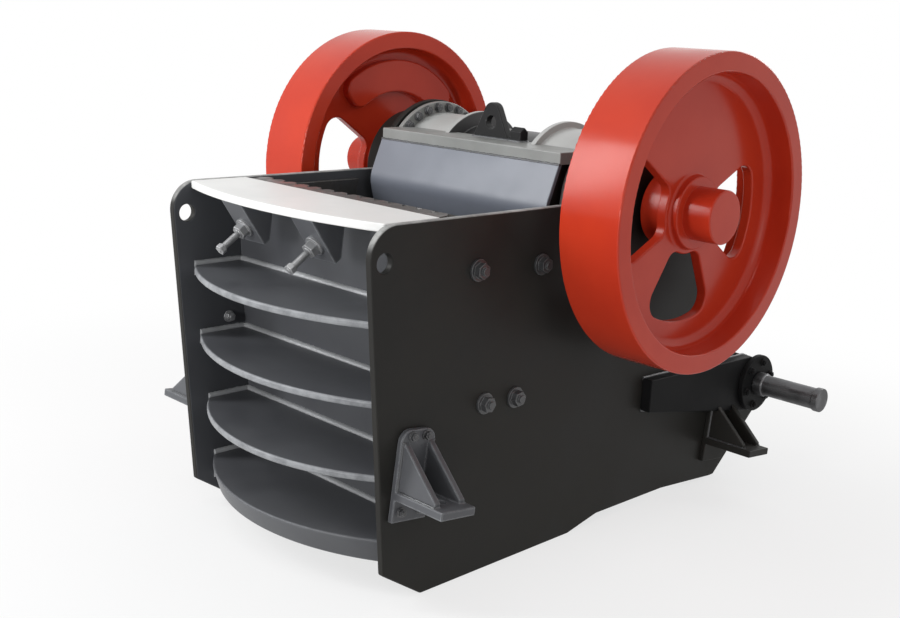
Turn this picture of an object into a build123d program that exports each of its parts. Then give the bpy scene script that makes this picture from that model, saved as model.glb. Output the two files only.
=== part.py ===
"""Jaw crusher with two flywheels, a ribbed front wall and bracket feet.

X runs across the machine, +Y to its rear and +Z up. Sizes are in millimetres.
Points in the side view are written as (y, z) from the main shaft axis, and
every piece is moved to the floor frame when it is saved.
"""
import os
from math import cos, hypot, radians, sin

from build123d import *

# Main sizes
SHAFT_H = 1334.0
HALF_BARREL = 490.0
PLATE_T = 30.0
PLATE_TOP = 15.0
PLATE_FRONT = -1354.0
FRONT_RAKE = 0.0913
REAR_END = 1130.0
WHEEL_R = 600.0
WHEEL_W = 261.0
THROW = 14.0
CURVE_GAP = 0.3
RUN_GAP = 0.05
SIDE_GAP = 8.0

# Side plate outline
PLATE_ROUND = 110.0
FRONT_FOOT_Z = -1213.0
TOE_Y = -1058.0
ARCH = ((-240.0, 0.0), (-60.0, 38.0), (400.0, 34.0), (780.0, 0.0))
HEEL_Y = 815.0
REAR_LOW_Z = -1062.0
REAR_HIGH_Z = -835.0
REAR_BEND = (900.0, -760.0)
SHOULDER_Y = 350.0
SADDLE_R = 250.0
LIFT_R = 33.0
LIFT_BACK = 60.0
LIFT_DOWN = 124.0

# Front wall, ribs and top plate
WALL_FRONT = -1052.0
WALL_RAKE = 0.07
WALL_T = 40.0
WALL_LOW = -1215.0
RIB_TOPS = (-316.0, -597.0, -870.0, -1118.0)
RIB_T = 28.0
LOW_RIB_T = 92.0
RIB_SET_BACKS = (72.0, 72.0, 86.0)
RIB_BOWS = (168.0, 168.0, 206.0)
LOW_SET_BACK = 90.0
LOW_BOW = 208.0
LOW_LEAN = 22.0
LOW_FLAT = 16.0
TOP_SET_BACK = 89.0
TOP_BOW = 89.0
TOP_T = 30.0
CLAMP_X = 205.0
CLAMP_SLOPE = 34.6
CLAMP_SEAT = (-1262.0, -112.0)
CLAMP_W = 120.0
CLAMP_H = 150.0
CLAMP_T = 30.0
CLAMP_DEEP = 150.0

# Jaw plates and cheek plates
JAW_T = 80.0
TOOTH_PITCH = 75.0
TOOTH_DEPTH = 26.0
FIXED_JAW_TOP = 14.0
FIXED_JAW_LOW = -1175.0
CHEEK_T = 25.0
CHEEK_TOP = -22.0
CHEEK_LOW = -1010.0
CHEEK_BACK_TOP = -440.0
CHEEK_BACK_LOW = -560.0
MOVE_TOP = (-448.0, -95.0)
MOVE_LOW = (-768.0, -1130.0)

# Pitman
BARREL_R = 270.0
NECK_R = 236.0
RING_X = 242.0
RING_R = 296.0
RING_T = 24.0
FLANGE_R = 318.0
FLANGE_T = 22.0
FLANGE_GAP = 16.0
ECC_R = 110.0
HOOD_OVER = 10.0
HOOD_T = 18.0
HOOD_TOP = (-346.0, 150.0)
HOOD_NOSE = (-410.0, -12.0)
HOOD_LOW_Y = -384.0
HOOD_BEND = 110.0
BAR_FRONT = -341.0
BAR_TOP = 197.0
BAR_LOW = 150.0
BAR_BACK = -150.0
LUG_Y = -180.0
LUG_T = 34.0
LUG_HALF = 98.0
LUG_TIP = 300.0
LUG_ROUND = 42.0
LUG_HOLE_R = 26.0
LUG_HOLE_Z = 262.0
BRACKET_X = (112.0, 172.0)
BRACKET_H = 58.0
BRACKET_T = 46.0
SLAB_T = 120.0
SLAB_DEEP = 2.4
TOE_UP = 40.0
SEAT_UP = 220.0
SEAT_REACH = (1.9, 2.05)
PIT_RIB_T = 50.0
PIT_RIB_MID = 150.0
PIT_SHORT = 20.0
RIB_BACK = ((-150.0, -560.0), (170.0, -190.0))

# Shaft, bearings and flywheels
SHAFT_R = 85.0
SHAFT_SHORT = 8.0
HOUSE_STAND = 112.0
HOUSE_FLANGE_R = 310.0
HOUSE_FLANGE_T = 30.0
RIM_T = 74.0
WEB_T = 44.0
WEB_SET = 141.0
WHEEL_GAP = 29.0
HUB_R = 138.0
HUB_GAP = 35.0
HUB_STAND = 32.0
NOSE_R = 102.0
NOSE_STAND = 30.0
NOSE_CAP = 14.0
RIM_FILLET = 40.0
HUB_FILLET = 12.0
WINDOW_IN = 160.0
WINDOW_RIM = 104.0
WINDOW_HALF = 30.0
WINDOW_ROUND = (50.0, 66.0)
WINDOW_EDGE = 7.0
RIM_ROUND = 6.0
WINDOWS = (0.0, 180.0, 270.0)
WEIGHT_HALF = 48.0
WEIGHT_RIM = 54.0
WEIGHT_W = 147.0
WEIGHT_T = 40.0
WEIGHT_ROUND = 60.0
WEIGHT_EDGE = 10.0
WHEEL_TURN = -4.5
ECC_TURN = -2.75

# Feet
FOOT_SLOPE = -6.63
FOOT_REACH = 248.0
FOOT_LEN = 160.0
FOOT_T = 30.0
FOOT_MIDS = (("front", -1144.0), ("rear", 765.0))
FOOT_UNDER = (-1139.0, -940.0)
PAD_T = 22.0
PAD_H = 327.0
PAD_UNDER = 82.0
GUSSET_T = 25.0
GUSSET_GAP = 116.0
GUSSET_H = 175.0
GUSSET_REACH = 204.0
FOOT_HOLE_R = 21.0
FOOT_HOLE_REACH = 157.0
PAD_ROUND = 45.0
GUSSET_TIP = 14.0

# Toggle and rear
BEAM = ((130.0, -1010.0), (470.0, -1010.0), (470.0, -700.0), (130.0, -700.0))
SEAT_T = 70.0
SEAT_H = 170.0
SEAT_HALF = 430.0
TOGGLE_T = 62.0
TOGGLE_HALF = 400.0
TOGGLE_GAP = 36.0
REAR_WALL_T = 40.0
HOUSE_BOX = ((185.0, -895.0), (1000.0, -1046.0), (1110.0, -1030.0), (1110.0, -835.0), (960.0, -780.0),
             (185.0, -755.0))
BOX_T = 49.0
BOSS_T = 24.0
BOSS_R = 132.0
BAR_YZ = (1000.0, -908.0)
BAR_R = 48.0
BAR_REACH = 325.0
COLLAR_R = 54.0
COLLAR_W = 44.0
HEAD_W = 30.0

PLATE_IN = HALF_BARREL + FLANGE_T + FLANGE_GAP + HOUSE_FLANGE_T
PLATE_OUT = PLATE_IN + PLATE_T
HOUSE_OUT = PLATE_OUT + HOUSE_STAND
WHEEL_IN = HOUSE_OUT + WHEEL_GAP
RIM_BORE = WHEEL_R - RIM_T
WINDOW_OUT = RIM_BORE - WINDOW_RIM
WEIGHT_OUT = RIM_BORE - WEIGHT_RIM
WEIGHT_IN = WEIGHT_OUT - WEIGHT_W
HUB_IN = HOUSE_OUT + HUB_GAP
WEB_OUT = WHEEL_IN + WEB_SET
HUB_STEP = WEB_OUT + HUB_STAND
NOSE_OUT = WHEEL_IN + WHEEL_W + NOSE_STAND
SHAFT_END = NOSE_OUT - NOSE_CAP - SHAFT_SHORT
HOOD_HALF = HALF_BARREL + HOOD_OVER
PIT_HALF = HALF_BARREL - PIT_SHORT
PIT_RIB_END = PIT_HALF - PIT_RIB_T / 2
PIT_RIBS_X = (-PIT_RIB_END, -PIT_RIB_MID, PIT_RIB_MID, PIT_RIB_END)
FOOT_OUT = PLATE_OUT + FOOT_REACH
FOOT_HOLE_X = PLATE_OUT + FOOT_HOLE_REACH
BOX_OUT = PLATE_OUT + BOX_T
BAR_END = BOX_OUT + BOSS_T + BAR_REACH
RIB_FRONT = PLATE_FRONT + FRONT_RAKE * (PLATE_TOP - RIB_TOPS[0]) + RIB_SET_BACKS[0] - RIB_BOWS[0]
SHIFT = Pos(0, -(RIB_FRONT + REAR_END) / 2, SHAFT_H)
ECCENTRIC = (THROW * cos(radians(ECC_TURN - 90)), THROW * sin(radians(ECC_TURN - 90)))
OUT = "parts"


def prism_x(points, x0, x1):
    """Extrude a side-view outline of (y, z) points from x0 to x1."""
    plane = Plane(origin=(x0, 0, 0), x_dir=(0, 1, 0), z_dir=(1, 0, 0))
    return extrude(plane * make_face(Polyline(*points, close=True)), amount=x1 - x0)


def prism_z(points, z0, z1):
    """Extrude a plan outline of (x, y) points from z0 to z1."""
    return extrude(Plane(origin=(0, 0, z0)) * make_face(Polyline(*points, close=True)), amount=z1 - z0)


def rod_x(radius, x0, x1, y=0.0, z=0.0):
    """Round bar along X from x0 to x1."""
    mid = (x0 + x1) / 2
    return Pos(mid, y, z) * Rot(0, 90, 0) * Cylinder(radius, abs(x1 - x0))


def sided(side, x0, x1):
    """Order two distances from the middle for the left (-1) or right (1) side."""
    return (x0, x1) if side > 0 else (-x1, -x0)


def save(name, shape):
    """Move one piece to the floor frame and write it."""
    export_step(SHIFT * shape, f"{OUT}/{name}.step")


def front_edge(z):
    """Y of the side plates' front edge at height z."""
    return PLATE_FRONT + FRONT_RAKE * (PLATE_TOP - z)


def wall_face(z):
    """Y of the front wall's front face at height z."""
    return WALL_FRONT - WALL_RAKE * z


def side_plate(side):
    """Side plate with the bearing saddle, lifting hole and arched lower edge."""
    floor = -SHAFT_H
    outline = [
        (PLATE_FRONT, PLATE_TOP),
        (front_edge(FRONT_FOOT_Z), FRONT_FOOT_Z),
        (TOE_Y, floor),
    ]
    outline += [(y, floor + rise) for y, rise in ARCH]
    outline += [
        (HEEL_Y, floor),
        (REAR_END, REAR_LOW_Z),
        (REAR_END, REAR_HIGH_Z),
        REAR_BEND,
        (SHOULDER_Y, PLATE_TOP),
    ]
    x0, x1 = sided(side, PLATE_IN, PLATE_OUT)
    plate = prism_x(outline, x0, x1)
    corner = [e for e in plate.edges().filter_by(Axis.X)
              if abs(e.center().Y - PLATE_FRONT) < 1 and abs(e.center().Z - PLATE_TOP) < 1]
    plate = fillet(corner, PLATE_ROUND)
    plate -= rod_x(SADDLE_R, x0 - 1, x1 + 1)
    hole_z = PLATE_TOP - LIFT_DOWN
    plate -= rod_x(LIFT_R, x0 - 1, x1 + 1, front_edge(hole_z) + LIFT_BACK, hole_z)
    return plate


def bowed_face(z, y_end, bow, back):
    """Plan outline at height z between the side plates, with a front edge bowed forward."""
    edge = ThreePointArc((-PLATE_IN, y_end), (0, y_end - bow), (PLATE_IN, y_end))
    rest = Polyline((PLATE_IN, y_end), (PLATE_IN, back), (-PLATE_IN, back), (-PLATE_IN, y_end))
    return Plane(origin=(0, 0, z)) * make_face([edge, rest])


def bowed_plate(top, thick, set_back, bow, back):
    """Level plate between the side plates with a front edge bowed forward."""
    return extrude(bowed_face(top - thick, front_edge(top) + set_back, bow, back), amount=thick)


def low_rib_block():
    """Lowest rib, whose front face leans back towards its lower edge."""
    top = RIB_TOPS[-1]
    low = top - LOW_RIB_T
    back = wall_face(low) + WALL_T
    y_end = front_edge(top) + LOW_SET_BACK
    return loft([bowed_face(low, y_end + LOW_LEAN, LOW_BOW - LOW_FLAT, back), bowed_face(top, y_end, LOW_BOW, back)],
                ruled=True)


def front_rib(index):
    """One of the bowed ribs in front of the wall."""
    top = RIB_TOPS[index]
    lowest = index == len(RIB_TOPS) - 1
    thick = LOW_RIB_T if lowest else RIB_T
    if lowest:
        rib = low_rib_block()
    else:
        rib = bowed_plate(top, thick, RIB_SET_BACKS[index], RIB_BOWS[index], wall_face(top - thick) + WALL_T)
    face = [(wall_face(top), top), (wall_face(top - thick), top - thick)]
    behind = [face[0], face[1], (0.0, top - thick), (0.0, top)]
    return rib - prism_x(behind, -PLATE_OUT, PLATE_OUT)


def wall_outline():
    """Side view of the front wall."""
    top = PLATE_TOP - TOP_T
    return [
        (wall_face(top), top),
        (wall_face(WALL_LOW), WALL_LOW),
        (wall_face(WALL_LOW) + WALL_T, WALL_LOW),
        (wall_face(top) + WALL_T, top),
    ]


def top_plate():
    """Level plate over the front wall."""
    return bowed_plate(PLATE_TOP, TOP_T, TOP_SET_BACK, TOP_BOW, wall_face(PLATE_TOP) + WALL_T)


def clamp_seat(side):
    """Sloping seat under the top plate for a clamp bolt."""
    y, z = CLAMP_SEAT
    slope = radians(CLAMP_SLOPE)
    under = PLATE_TOP - TOP_T
    along = (sin(slope), -cos(slope))
    inward = (cos(slope), sin(slope))
    high = (y - along[0] * (z - under) / along[1], under)
    low = (y + along[0] * CLAMP_H / 2, z + along[1] * CLAMP_H / 2)
    deep = (low[0] + inward[0] * CLAMP_T, low[1] + inward[1] * CLAMP_T)
    back = (high[0] + CLAMP_DEEP, under)
    x = side * CLAMP_X
    return prism_x([high, low, deep, back], x - CLAMP_W / 2, x + CLAMP_W / 2)


def toothed_plate(half, low, high, normal, thick):
    """Plate with upright teeth between two (y, z) points of its tooth-root line.

    The teeth point to the rear for normal 1 and to the front for -1.
    """
    count = int(2 * half // TOOTH_PITCH)
    pitch = 2 * half / count
    profile = [(-half, -thick), (half, -thick)]
    for step in range(count, 0, -1):
        right = -half + step * pitch
        profile += [(right, 0.0), (right - pitch * 0.3, TOOTH_DEPTH), (right - pitch * 0.7, TOOTH_DEPTH)]
    profile.append((-half, 0.0))
    rise = (0, high[0] - low[0], high[1] - low[1])
    length = hypot(rise[1], rise[2])
    plane = Plane(origin=(0, low[0], low[1]), x_dir=(normal, 0, 0), z_dir=rise)
    return extrude(plane * make_face(Polyline(*profile, close=True)), amount=length)


def fixed_jaw():
    """Toothed plate on the rear of the front wall."""
    body = JAW_T - TOOTH_DEPTH
    deep = WALL_T + body * hypot(1, WALL_RAKE)
    low = (wall_face(FIXED_JAW_LOW) + deep, FIXED_JAW_LOW)
    high = (wall_face(FIXED_JAW_TOP) + deep, FIXED_JAW_TOP)
    return toothed_plate(PLATE_IN - CHEEK_T - 1, low, high, 1, body)


def moving_jaw():
    """Toothed plate on the front of the pitman."""
    return toothed_plate(PLATE_IN - CHEEK_T - SIDE_GAP, MOVE_LOW, MOVE_TOP, -1, JAW_T - TOOTH_DEPTH)


def cheek(side):
    """Liner plate on the inside of a side plate between the jaws."""
    front = WALL_T + JAW_T + 2
    outline = [
        (wall_face(CHEEK_TOP) + front, CHEEK_TOP),
        (wall_face(CHEEK_LOW) + front, CHEEK_LOW),
        (CHEEK_BACK_LOW, CHEEK_LOW),
        (CHEEK_BACK_TOP, CHEEK_TOP),
    ]
    x0, x1 = sided(side, PLATE_IN - CHEEK_T, PLATE_IN)
    return prism_x(outline, x0, x1)


def foot(name, side):
    """Bolted bracket foot: wall pad, two gussets and a base plate with a bolt hole."""
    mid = dict(FOOT_MIDS)[name]
    half = FOOT_LEN / 2
    x0, x1 = sided(side, PLATE_OUT, PLATE_OUT + PAD_T)
    pad = prism_x([(-half, -PAD_UNDER), (half, -PAD_UNDER), (half, PAD_H - PAD_UNDER),
                   (-half, PAD_H - PAD_UNDER)], x0, x1)
    tops = [e for e in pad.edges().filter_by(Axis.X) if e.center().Z > 0]
    piece = fillet(tops, PAD_ROUND)
    x0, x1 = sided(side, PLATE_OUT + PAD_T, FOOT_OUT)
    piece += prism_x([(-half, 0), (half, 0), (half, FOOT_T), (-half, FOOT_T)], x0, x1)
    root = side * (PLATE_OUT + PAD_T)
    tip = side * (PLATE_OUT + GUSSET_REACH)
    for shift in (-GUSSET_GAP / 2, GUSSET_GAP / 2):
        plane = Plane(origin=(0, shift + GUSSET_T / 2, 0), x_dir=(1, 0, 0), z_dir=(0, -1, 0))
        web = [(root, FOOT_T), (tip, FOOT_T), (tip, FOOT_T + GUSSET_TIP), (root, FOOT_T + GUSSET_H)]
        piece += extrude(plane * make_face(Polyline(*web, close=True)), amount=GUSSET_T)
    piece -= Pos(side * FOOT_HOLE_X, 0, FOOT_T / 2) * Cylinder(FOOT_HOLE_R, FOOT_T + 2)
    run = mid - FOOT_UNDER[0]
    level = FOOT_UNDER[1] + run * sin(radians(FOOT_SLOPE)) / cos(radians(FOOT_SLOPE))
    piece = Pos(0, mid, level) * Rot(FOOT_SLOPE, 0, 0) * piece
    return piece - prism_x(HOUSE_BOX, *sided(side, PLATE_OUT, BOX_OUT))


def bearing_housing(side):
    """Main bearing housing in the side plate's saddle."""
    inner, outer = sided(side, PLATE_IN - HOUSE_FLANGE_T, PLATE_IN)
    body = rod_x(HOUSE_FLANGE_R, inner, outer)
    inner, outer = sided(side, PLATE_IN, HOUSE_OUT)
    body += rod_x(SADDLE_R - CURVE_GAP, inner, outer)
    inner, outer = sided(side, PLATE_IN - HOUSE_FLANGE_T - 1, HOUSE_OUT + 1)
    return body - rod_x(SHAFT_R + RUN_GAP, inner, outer)


def shaft():
    """Main shaft with the eccentric in the middle."""
    middle = HALF_BARREL + FLANGE_T + 4
    body = rod_x(SHAFT_R, -SHAFT_END, SHAFT_END)
    return body + rod_x(ECC_R, -middle, middle, *ECCENTRIC)


def window(angle):
    """Rounded sector cut through a flywheel web, built about X at the origin."""
    half = radians(WINDOW_HALF)
    a = (WINDOW_IN * cos(half), WINDOW_IN * sin(half))
    b = (WINDOW_OUT * cos(half), WINDOW_OUT * sin(half))
    inner = ThreePointArc((a[0], -a[1]), (WINDOW_IN, 0), a)
    outer = ThreePointArc(b, (WINDOW_OUT, 0), (b[0], -b[1]))
    face = make_face([inner, Line(a, b), outer, Line((b[0], -b[1]), (a[0], -a[1]))])
    for radius, corner in zip((WINDOW_IN, WINDOW_OUT), WINDOW_ROUND):
        y, z = radius * cos(half), radius * sin(half)
        face = round_at(face, [(y, z), (y, -z)], corner)
    plane = Plane(origin=(WHEEL_IN, 0, 0), x_dir=(0, 1, 0), z_dir=(1, 0, 0))
    return Rot(angle, 0, 0) * extrude(plane * face, amount=WHEEL_W)


def counterweight(web_in):
    """Kidney-shaped pad that stands on the inside of the web, upright in its middle."""
    half = radians(WEIGHT_HALF)
    a = (WEIGHT_IN * sin(half), WEIGHT_IN * cos(half))
    b = (WEIGHT_OUT * sin(half), WEIGHT_OUT * cos(half))
    face = make_face([
        ThreePointArc((-b[0], b[1]), (0, WEIGHT_OUT), b),
        Line(b, a),
        ThreePointArc(a, (0, WEIGHT_IN), (-a[0], a[1])),
        Line((-a[0], a[1]), (-b[0], b[1])),
    ])
    face = fillet(face.vertices(), WEIGHT_ROUND)
    low = web_in - WEIGHT_T
    plane = Plane(origin=(low, 0, 0), x_dir=(0, 1, 0), z_dir=(1, 0, 0))
    pad = extrude(plane * face, amount=WEIGHT_T)
    return fillet([e for e in pad.edges() if abs(e.center().X - low) < 0.1], WEIGHT_EDGE)


def round_at(face, points, radius):
    """Round the corners of a section that lie at the given points."""
    near = [v for v in face.vertices() if min(hypot(v.X - x, v.Y - y) for x, y in points) < 0.5]
    return fillet(near, radius)


def flywheel(side):
    """Flywheel with a plain rim, a windowed web and a counterweight inside its top."""
    bore = RIM_BORE
    hollow = SHAFT_R + RUN_GAP
    outer = WHEEL_IN + WHEEL_W
    web_in = WEB_OUT - WEB_T
    face = make_face(Polyline(
        (HUB_IN, hollow), (HUB_IN, HUB_R), (web_in, HUB_R), (web_in, bore), (WHEEL_IN, bore), (WHEEL_IN, WHEEL_R),
        (outer, WHEEL_R), (outer, bore), (WEB_OUT, bore), (WEB_OUT, HUB_R), (HUB_STEP, HUB_R), (HUB_STEP, NOSE_R),
        (NOSE_OUT, NOSE_R), (NOSE_OUT, 0), (NOSE_OUT - NOSE_CAP, 0), (NOSE_OUT - NOSE_CAP, hollow), close=True))
    face = round_at(face, [(web_in, bore), (WEB_OUT, bore)], RIM_FILLET)
    face = round_at(face, [(web_in, HUB_R), (WEB_OUT, HUB_R)], HUB_FILLET)
    face = round_at(face, [(WHEEL_IN, WHEEL_R), (outer, WHEEL_R), (WHEEL_IN, bore), (outer, bore)], RIM_ROUND)
    face = round_at(face, [(NOSE_OUT, NOSE_R), (HUB_STEP, HUB_R), (HUB_IN, HUB_R)], RIM_ROUND)
    wheel = revolve(Plane.XZ * face, Axis.X)
    for angle in WINDOWS:
        wheel -= window(angle)
    lips = []
    for edge in wheel.edges():
        at = edge.center()
        flat = min(abs(at.X - web_in), abs(at.X - WEB_OUT)) < 0.1
        if flat and WINDOW_IN - 5 < hypot(at.Y, at.Z) < WINDOW_OUT + 5:
            lips.append(edge)
    wheel = fillet(lips, WINDOW_EDGE)
    wheel = Rot(WHEEL_TURN, 0, 0) * (wheel + counterweight(web_in))
    return wheel if side > 0 else mirror(wheel, about=Plane.YZ)


def barrel_space(gap):
    """Room that the pitman barrel and its rings take, grown by a gap."""
    space = rod_x(NECK_R + gap, -RING_X, RING_X, *ECCENTRIC)
    for side in (-1, 1):
        space += rod_x(RING_R + gap, *sided(side, RING_X - RING_T / 2 - gap, RING_X + RING_T / 2 + gap), *ECCENTRIC)
        space += rod_x(BARREL_R + gap, *sided(side, RING_X, HALF_BARREL), *ECCENTRIC)
    return space


def pitman_barrel():
    """Bearing barrel of the pitman with two rings."""
    return barrel_space(0.0) - rod_x(ECC_R + RUN_GAP, -HALF_BARREL - 1, HALF_BARREL + 1, *ECCENTRIC)


def slab_outline():
    """Side view of the pitman's front slab."""
    top = jaw_back(0.0)
    toe = jaw_back(1.0)
    return [top, toe, (toe[0] + SLAB_T, toe[1]), (top[0] + SLAB_T * SLAB_DEEP, top[1])]


def toggle_pad():
    """Side view of the bar on the pitman's toe that faces the toggle."""
    toe = jaw_back(1.0)
    return [
        (toe[0] + SLAB_T * 0.8, toe[1] + TOE_UP),
        (toe[0] + SLAB_T * SEAT_REACH[0], toe[1] + TOE_UP),
        (toe[0] + SLAB_T * SEAT_REACH[1], toe[1] + SEAT_UP),
        (toe[0] + SLAB_T * 0.6, toe[1] + SEAT_UP),
    ]


def pitman_arm():
    """Front slab of the pitman with its toe bar and the hood's end webs."""
    arm = prism_x(slab_outline(), -PIT_HALF, PIT_HALF)
    arm += prism_x(toggle_pad(), -PIT_HALF, PIT_HALF)
    for side in (-1, 1):
        edge = hood_line(HOOD_T + CURVE_GAP)
        back = (BAR_BACK, BAR_LOW), (BAR_BACK, edge[2][1])
        face = make_face(Polyline(*edge, back[1], back[0], close=True))
        face = round_at(face, [edge[1]], HOOD_BEND - HOOD_T)
        inner, outer = sided(side, PIT_HALF - GUSSET_T, PIT_HALF)
        plane = Plane(origin=(inner, 0, 0), x_dir=(0, 1, 0), z_dir=(1, 0, 0))
        arm += extrude(plane * face, amount=outer - inner)
    return arm - barrel_space(CURVE_GAP)


def pitman_rib(x):
    """Upright rib on the pitman's back between slab, toe bar and barrel."""
    slab = slab_outline()
    pad = toggle_pad()
    part = (pad[2][1] - slab[2][1]) / (slab[3][1] - slab[2][1])
    root = (slab[2][0] + part * (slab[3][0] - slab[2][0]), pad[2][1])
    outline = [slab[3], root, pad[2], *RIB_BACK, ECCENTRIC]
    rib = prism_x(outline, x - PIT_RIB_T / 2, x + PIT_RIB_T / 2)
    return rib - barrel_space(CURVE_GAP)


def jaw_back(part):
    """Point on the back of the moving jaw plate, 0 at the top and 1 at the foot."""
    y = MOVE_TOP[0] + (MOVE_LOW[0] - MOVE_TOP[0]) * part
    z = MOVE_TOP[1] + (MOVE_LOW[1] - MOVE_TOP[1]) * part
    run = (MOVE_TOP[0] - MOVE_LOW[0], MOVE_TOP[1] - MOVE_LOW[1])
    length = hypot(*run)
    body = JAW_T - TOOTH_DEPTH
    return (y + body * run[1] / length, z - body * run[0] / length)


def hood_line(inset):
    """Three (y, z) points of the hood's bent side view, set in from its face."""
    low = (HOOD_LOW_Y, jaw_back(0.0)[1])
    points = (HOOD_TOP, HOOD_NOSE, low)
    ways = []
    for a, b in zip(points, points[1:]):
        length = hypot(b[0] - a[0], b[1] - a[1])
        ways.append(((b[0] - a[0]) / length, (b[1] - a[1]) / length))
    sides = [(-way[1], way[0]) for way in ways]
    share = inset / (1 + sides[0][0] * sides[1][0] + sides[0][1] * sides[1][1])
    bend = (HOOD_NOSE[0] + share * (sides[0][0] + sides[1][0]), HOOD_NOSE[1] + share * (sides[0][1] + sides[1][1]))
    ends = []
    for end, way in ((HOOD_TOP, ways[0]), (low, ways[1])):
        run = (end[1] - bend[1]) / way[1]
        ends.append((bend[0] + run * way[0], end[1]))
    return [ends[0], bend, ends[1]]


def hood():
    """Bent guard plate over the front of the pitman barrel."""
    face_line = hood_line(0.0)
    back_line = hood_line(HOOD_T)
    face = make_face(Polyline(*face_line, *reversed(back_line), close=True))
    face = round_at(face, [face_line[1]], HOOD_BEND)
    face = round_at(face, [back_line[1]], HOOD_BEND - HOOD_T)
    plane = Plane(origin=(-HOOD_HALF, 0, 0), x_dir=(0, 1, 0), z_dir=(1, 0, 0))
    return extrude(plane * face, amount=2 * HOOD_HALF)


def top_bar():
    """Bar along the top of the hood that carries the lifting lug."""
    bar = prism_x([(BAR_FRONT, BAR_LOW), (BAR_BACK, BAR_LOW), (BAR_BACK, BAR_TOP), (BAR_FRONT, BAR_TOP)],
                  -HOOD_HALF, HOOD_HALF)
    for side in (-1, 1):
        bar -= rod_x(FLANGE_R + CURVE_GAP, *sided(side, HALF_BARREL, HOOD_HALF + 1), *ECCENTRIC)
    return bar - barrel_space(CURVE_GAP)


def top_bracket():
    """Small block on the top bar beside the lug."""
    half = BRACKET_T / 2
    outline = [(LUG_Y - half, BAR_TOP), (LUG_Y + half, BAR_TOP), (LUG_Y + half, BAR_TOP + BRACKET_H * 0.7),
               (LUG_Y, BAR_TOP + BRACKET_H), (LUG_Y - half, BAR_TOP + BRACKET_H * 0.7)]
    return prism_x(outline, *BRACKET_X)


def lifting_lug():
    """Upright eye plate with a rounded tip on the top bar."""
    tip = Pos(0, LUG_TIP, 0) * Circle(LUG_ROUND)
    face = make_hull(tip.edges() + Line((-LUG_HALF, BAR_TOP), (LUG_HALF, BAR_TOP)).edges())
    plane = Plane(origin=(0, LUG_Y + LUG_T / 2, 0), x_dir=(1, 0, 0), z_dir=(0, -1, 0))
    plate = extrude(plane * face, amount=LUG_T)
    return plate - Pos(0, LUG_Y, LUG_HOLE_Z) * Rot(90, 0, 0) * Cylinder(LUG_HOLE_R, LUG_T + 2)


def pitman_flange(side):
    """Ring bolted on the end of the pitman barrel."""
    inner, outer = sided(side, HALF_BARREL, HALF_BARREL + FLANGE_T)
    ring = rod_x(FLANGE_R, inner, outer, *ECCENTRIC)
    return ring - rod_x(ECC_R + RUN_GAP, inner - 1, outer + 1, *ECCENTRIC)


def toggle_line():
    """Front and rear ends of the toggle plate's middle line."""
    toe = jaw_back(1.0)
    front = (toe[0] + SLAB_T * SEAT_REACH[1] + TOGGLE_GAP, toe[1] + (TOE_UP + SEAT_UP) / 2)
    rear = (BEAM[0][0] - SEAT_T, (BEAM[0][1] + BEAM[2][1]) / 2)
    return front, rear


def toggle_plate():
    """Flat toggle between the pitman and its seat."""
    (y0, z0), (y1, z1) = toggle_line()
    length = hypot(y1 - y0, z1 - z0)
    along = ((y1 - y0) / length, (z1 - z0) / length)
    side = (-along[1] * TOGGLE_T / 2, along[0] * TOGGLE_T / 2)
    seat = (y1 - CURVE_GAP, z1)
    outline = [(y0 + side[0], z0 + side[1]), (y0 - side[0], z0 - side[1]),
               (seat[0] - side[0], seat[1] - side[1]), (seat[0] + side[0], seat[1] + side[1])]
    seat_block = prism_x(seat_outline(), -PLATE_IN, PLATE_IN)
    return prism_x(outline, -TOGGLE_HALF, TOGGLE_HALF) - seat_block


def seat_outline():
    """Side view of the toggle seat on the cross beam."""
    y1 = BEAM[0][0]
    mid = (BEAM[0][1] + BEAM[2][1]) / 2
    return [(y1 - SEAT_T, mid - SEAT_H / 2), (y1, mid - SEAT_H / 2), (y1, mid + SEAT_H / 2),
            (y1 - SEAT_T, mid + SEAT_H / 2)]


def rear_wall():
    """Sloping wall between the side plates at the rear."""
    rise = (REAR_END - HEEL_Y, REAR_LOW_Z + SHAFT_H)
    length = hypot(*rise)
    normal = (-rise[1] / length * REAR_WALL_T, rise[0] / length * REAR_WALL_T)
    low = (HEEL_Y + rise[0] * 0.06, -SHAFT_H + rise[1] * 0.06)
    high = (HEEL_Y + rise[0] * 0.92, -SHAFT_H + rise[1] * 0.92)
    outline = [low, high, (high[0] + normal[0], high[1] + normal[1]), (low[0] + normal[0], low[1] + normal[1])]
    return prism_x(outline, -PLATE_IN, PLATE_IN)


def adjuster_box(side):
    """Box along the outside of a side plate that ends in the cross bar's boss."""
    x0, x1 = sided(side, PLATE_OUT, BOX_OUT)
    box = prism_x(HOUSE_BOX, x0, x1)
    return box - rod_x(BAR_R + RUN_GAP, x0 - 1, x1 + 1, *BAR_YZ)


def boss(side):
    """Round boss round the cross bar."""
    x0, x1 = sided(side, BOX_OUT, BOX_OUT + BOSS_T)
    ring = rod_x(BOSS_R, x0, x1, *BAR_YZ)
    return ring - rod_x(BAR_R + RUN_GAP, x0 - 1, x1 + 1, *BAR_YZ)


def cross_bar():
    """Bar through both side plates with a collar at each boss and a head at each end."""
    bar = rod_x(BAR_R, -BAR_END, BAR_END, *BAR_YZ)
    root = BOX_OUT + BOSS_T
    for side in (-1, 1):
        bar += rod_x(COLLAR_R, *sided(side, root, root + COLLAR_W), *BAR_YZ)
        bar += rod_x(COLLAR_R, *sided(side, BAR_END - HEAD_W, BAR_END), *BAR_YZ)
    return bar


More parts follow.
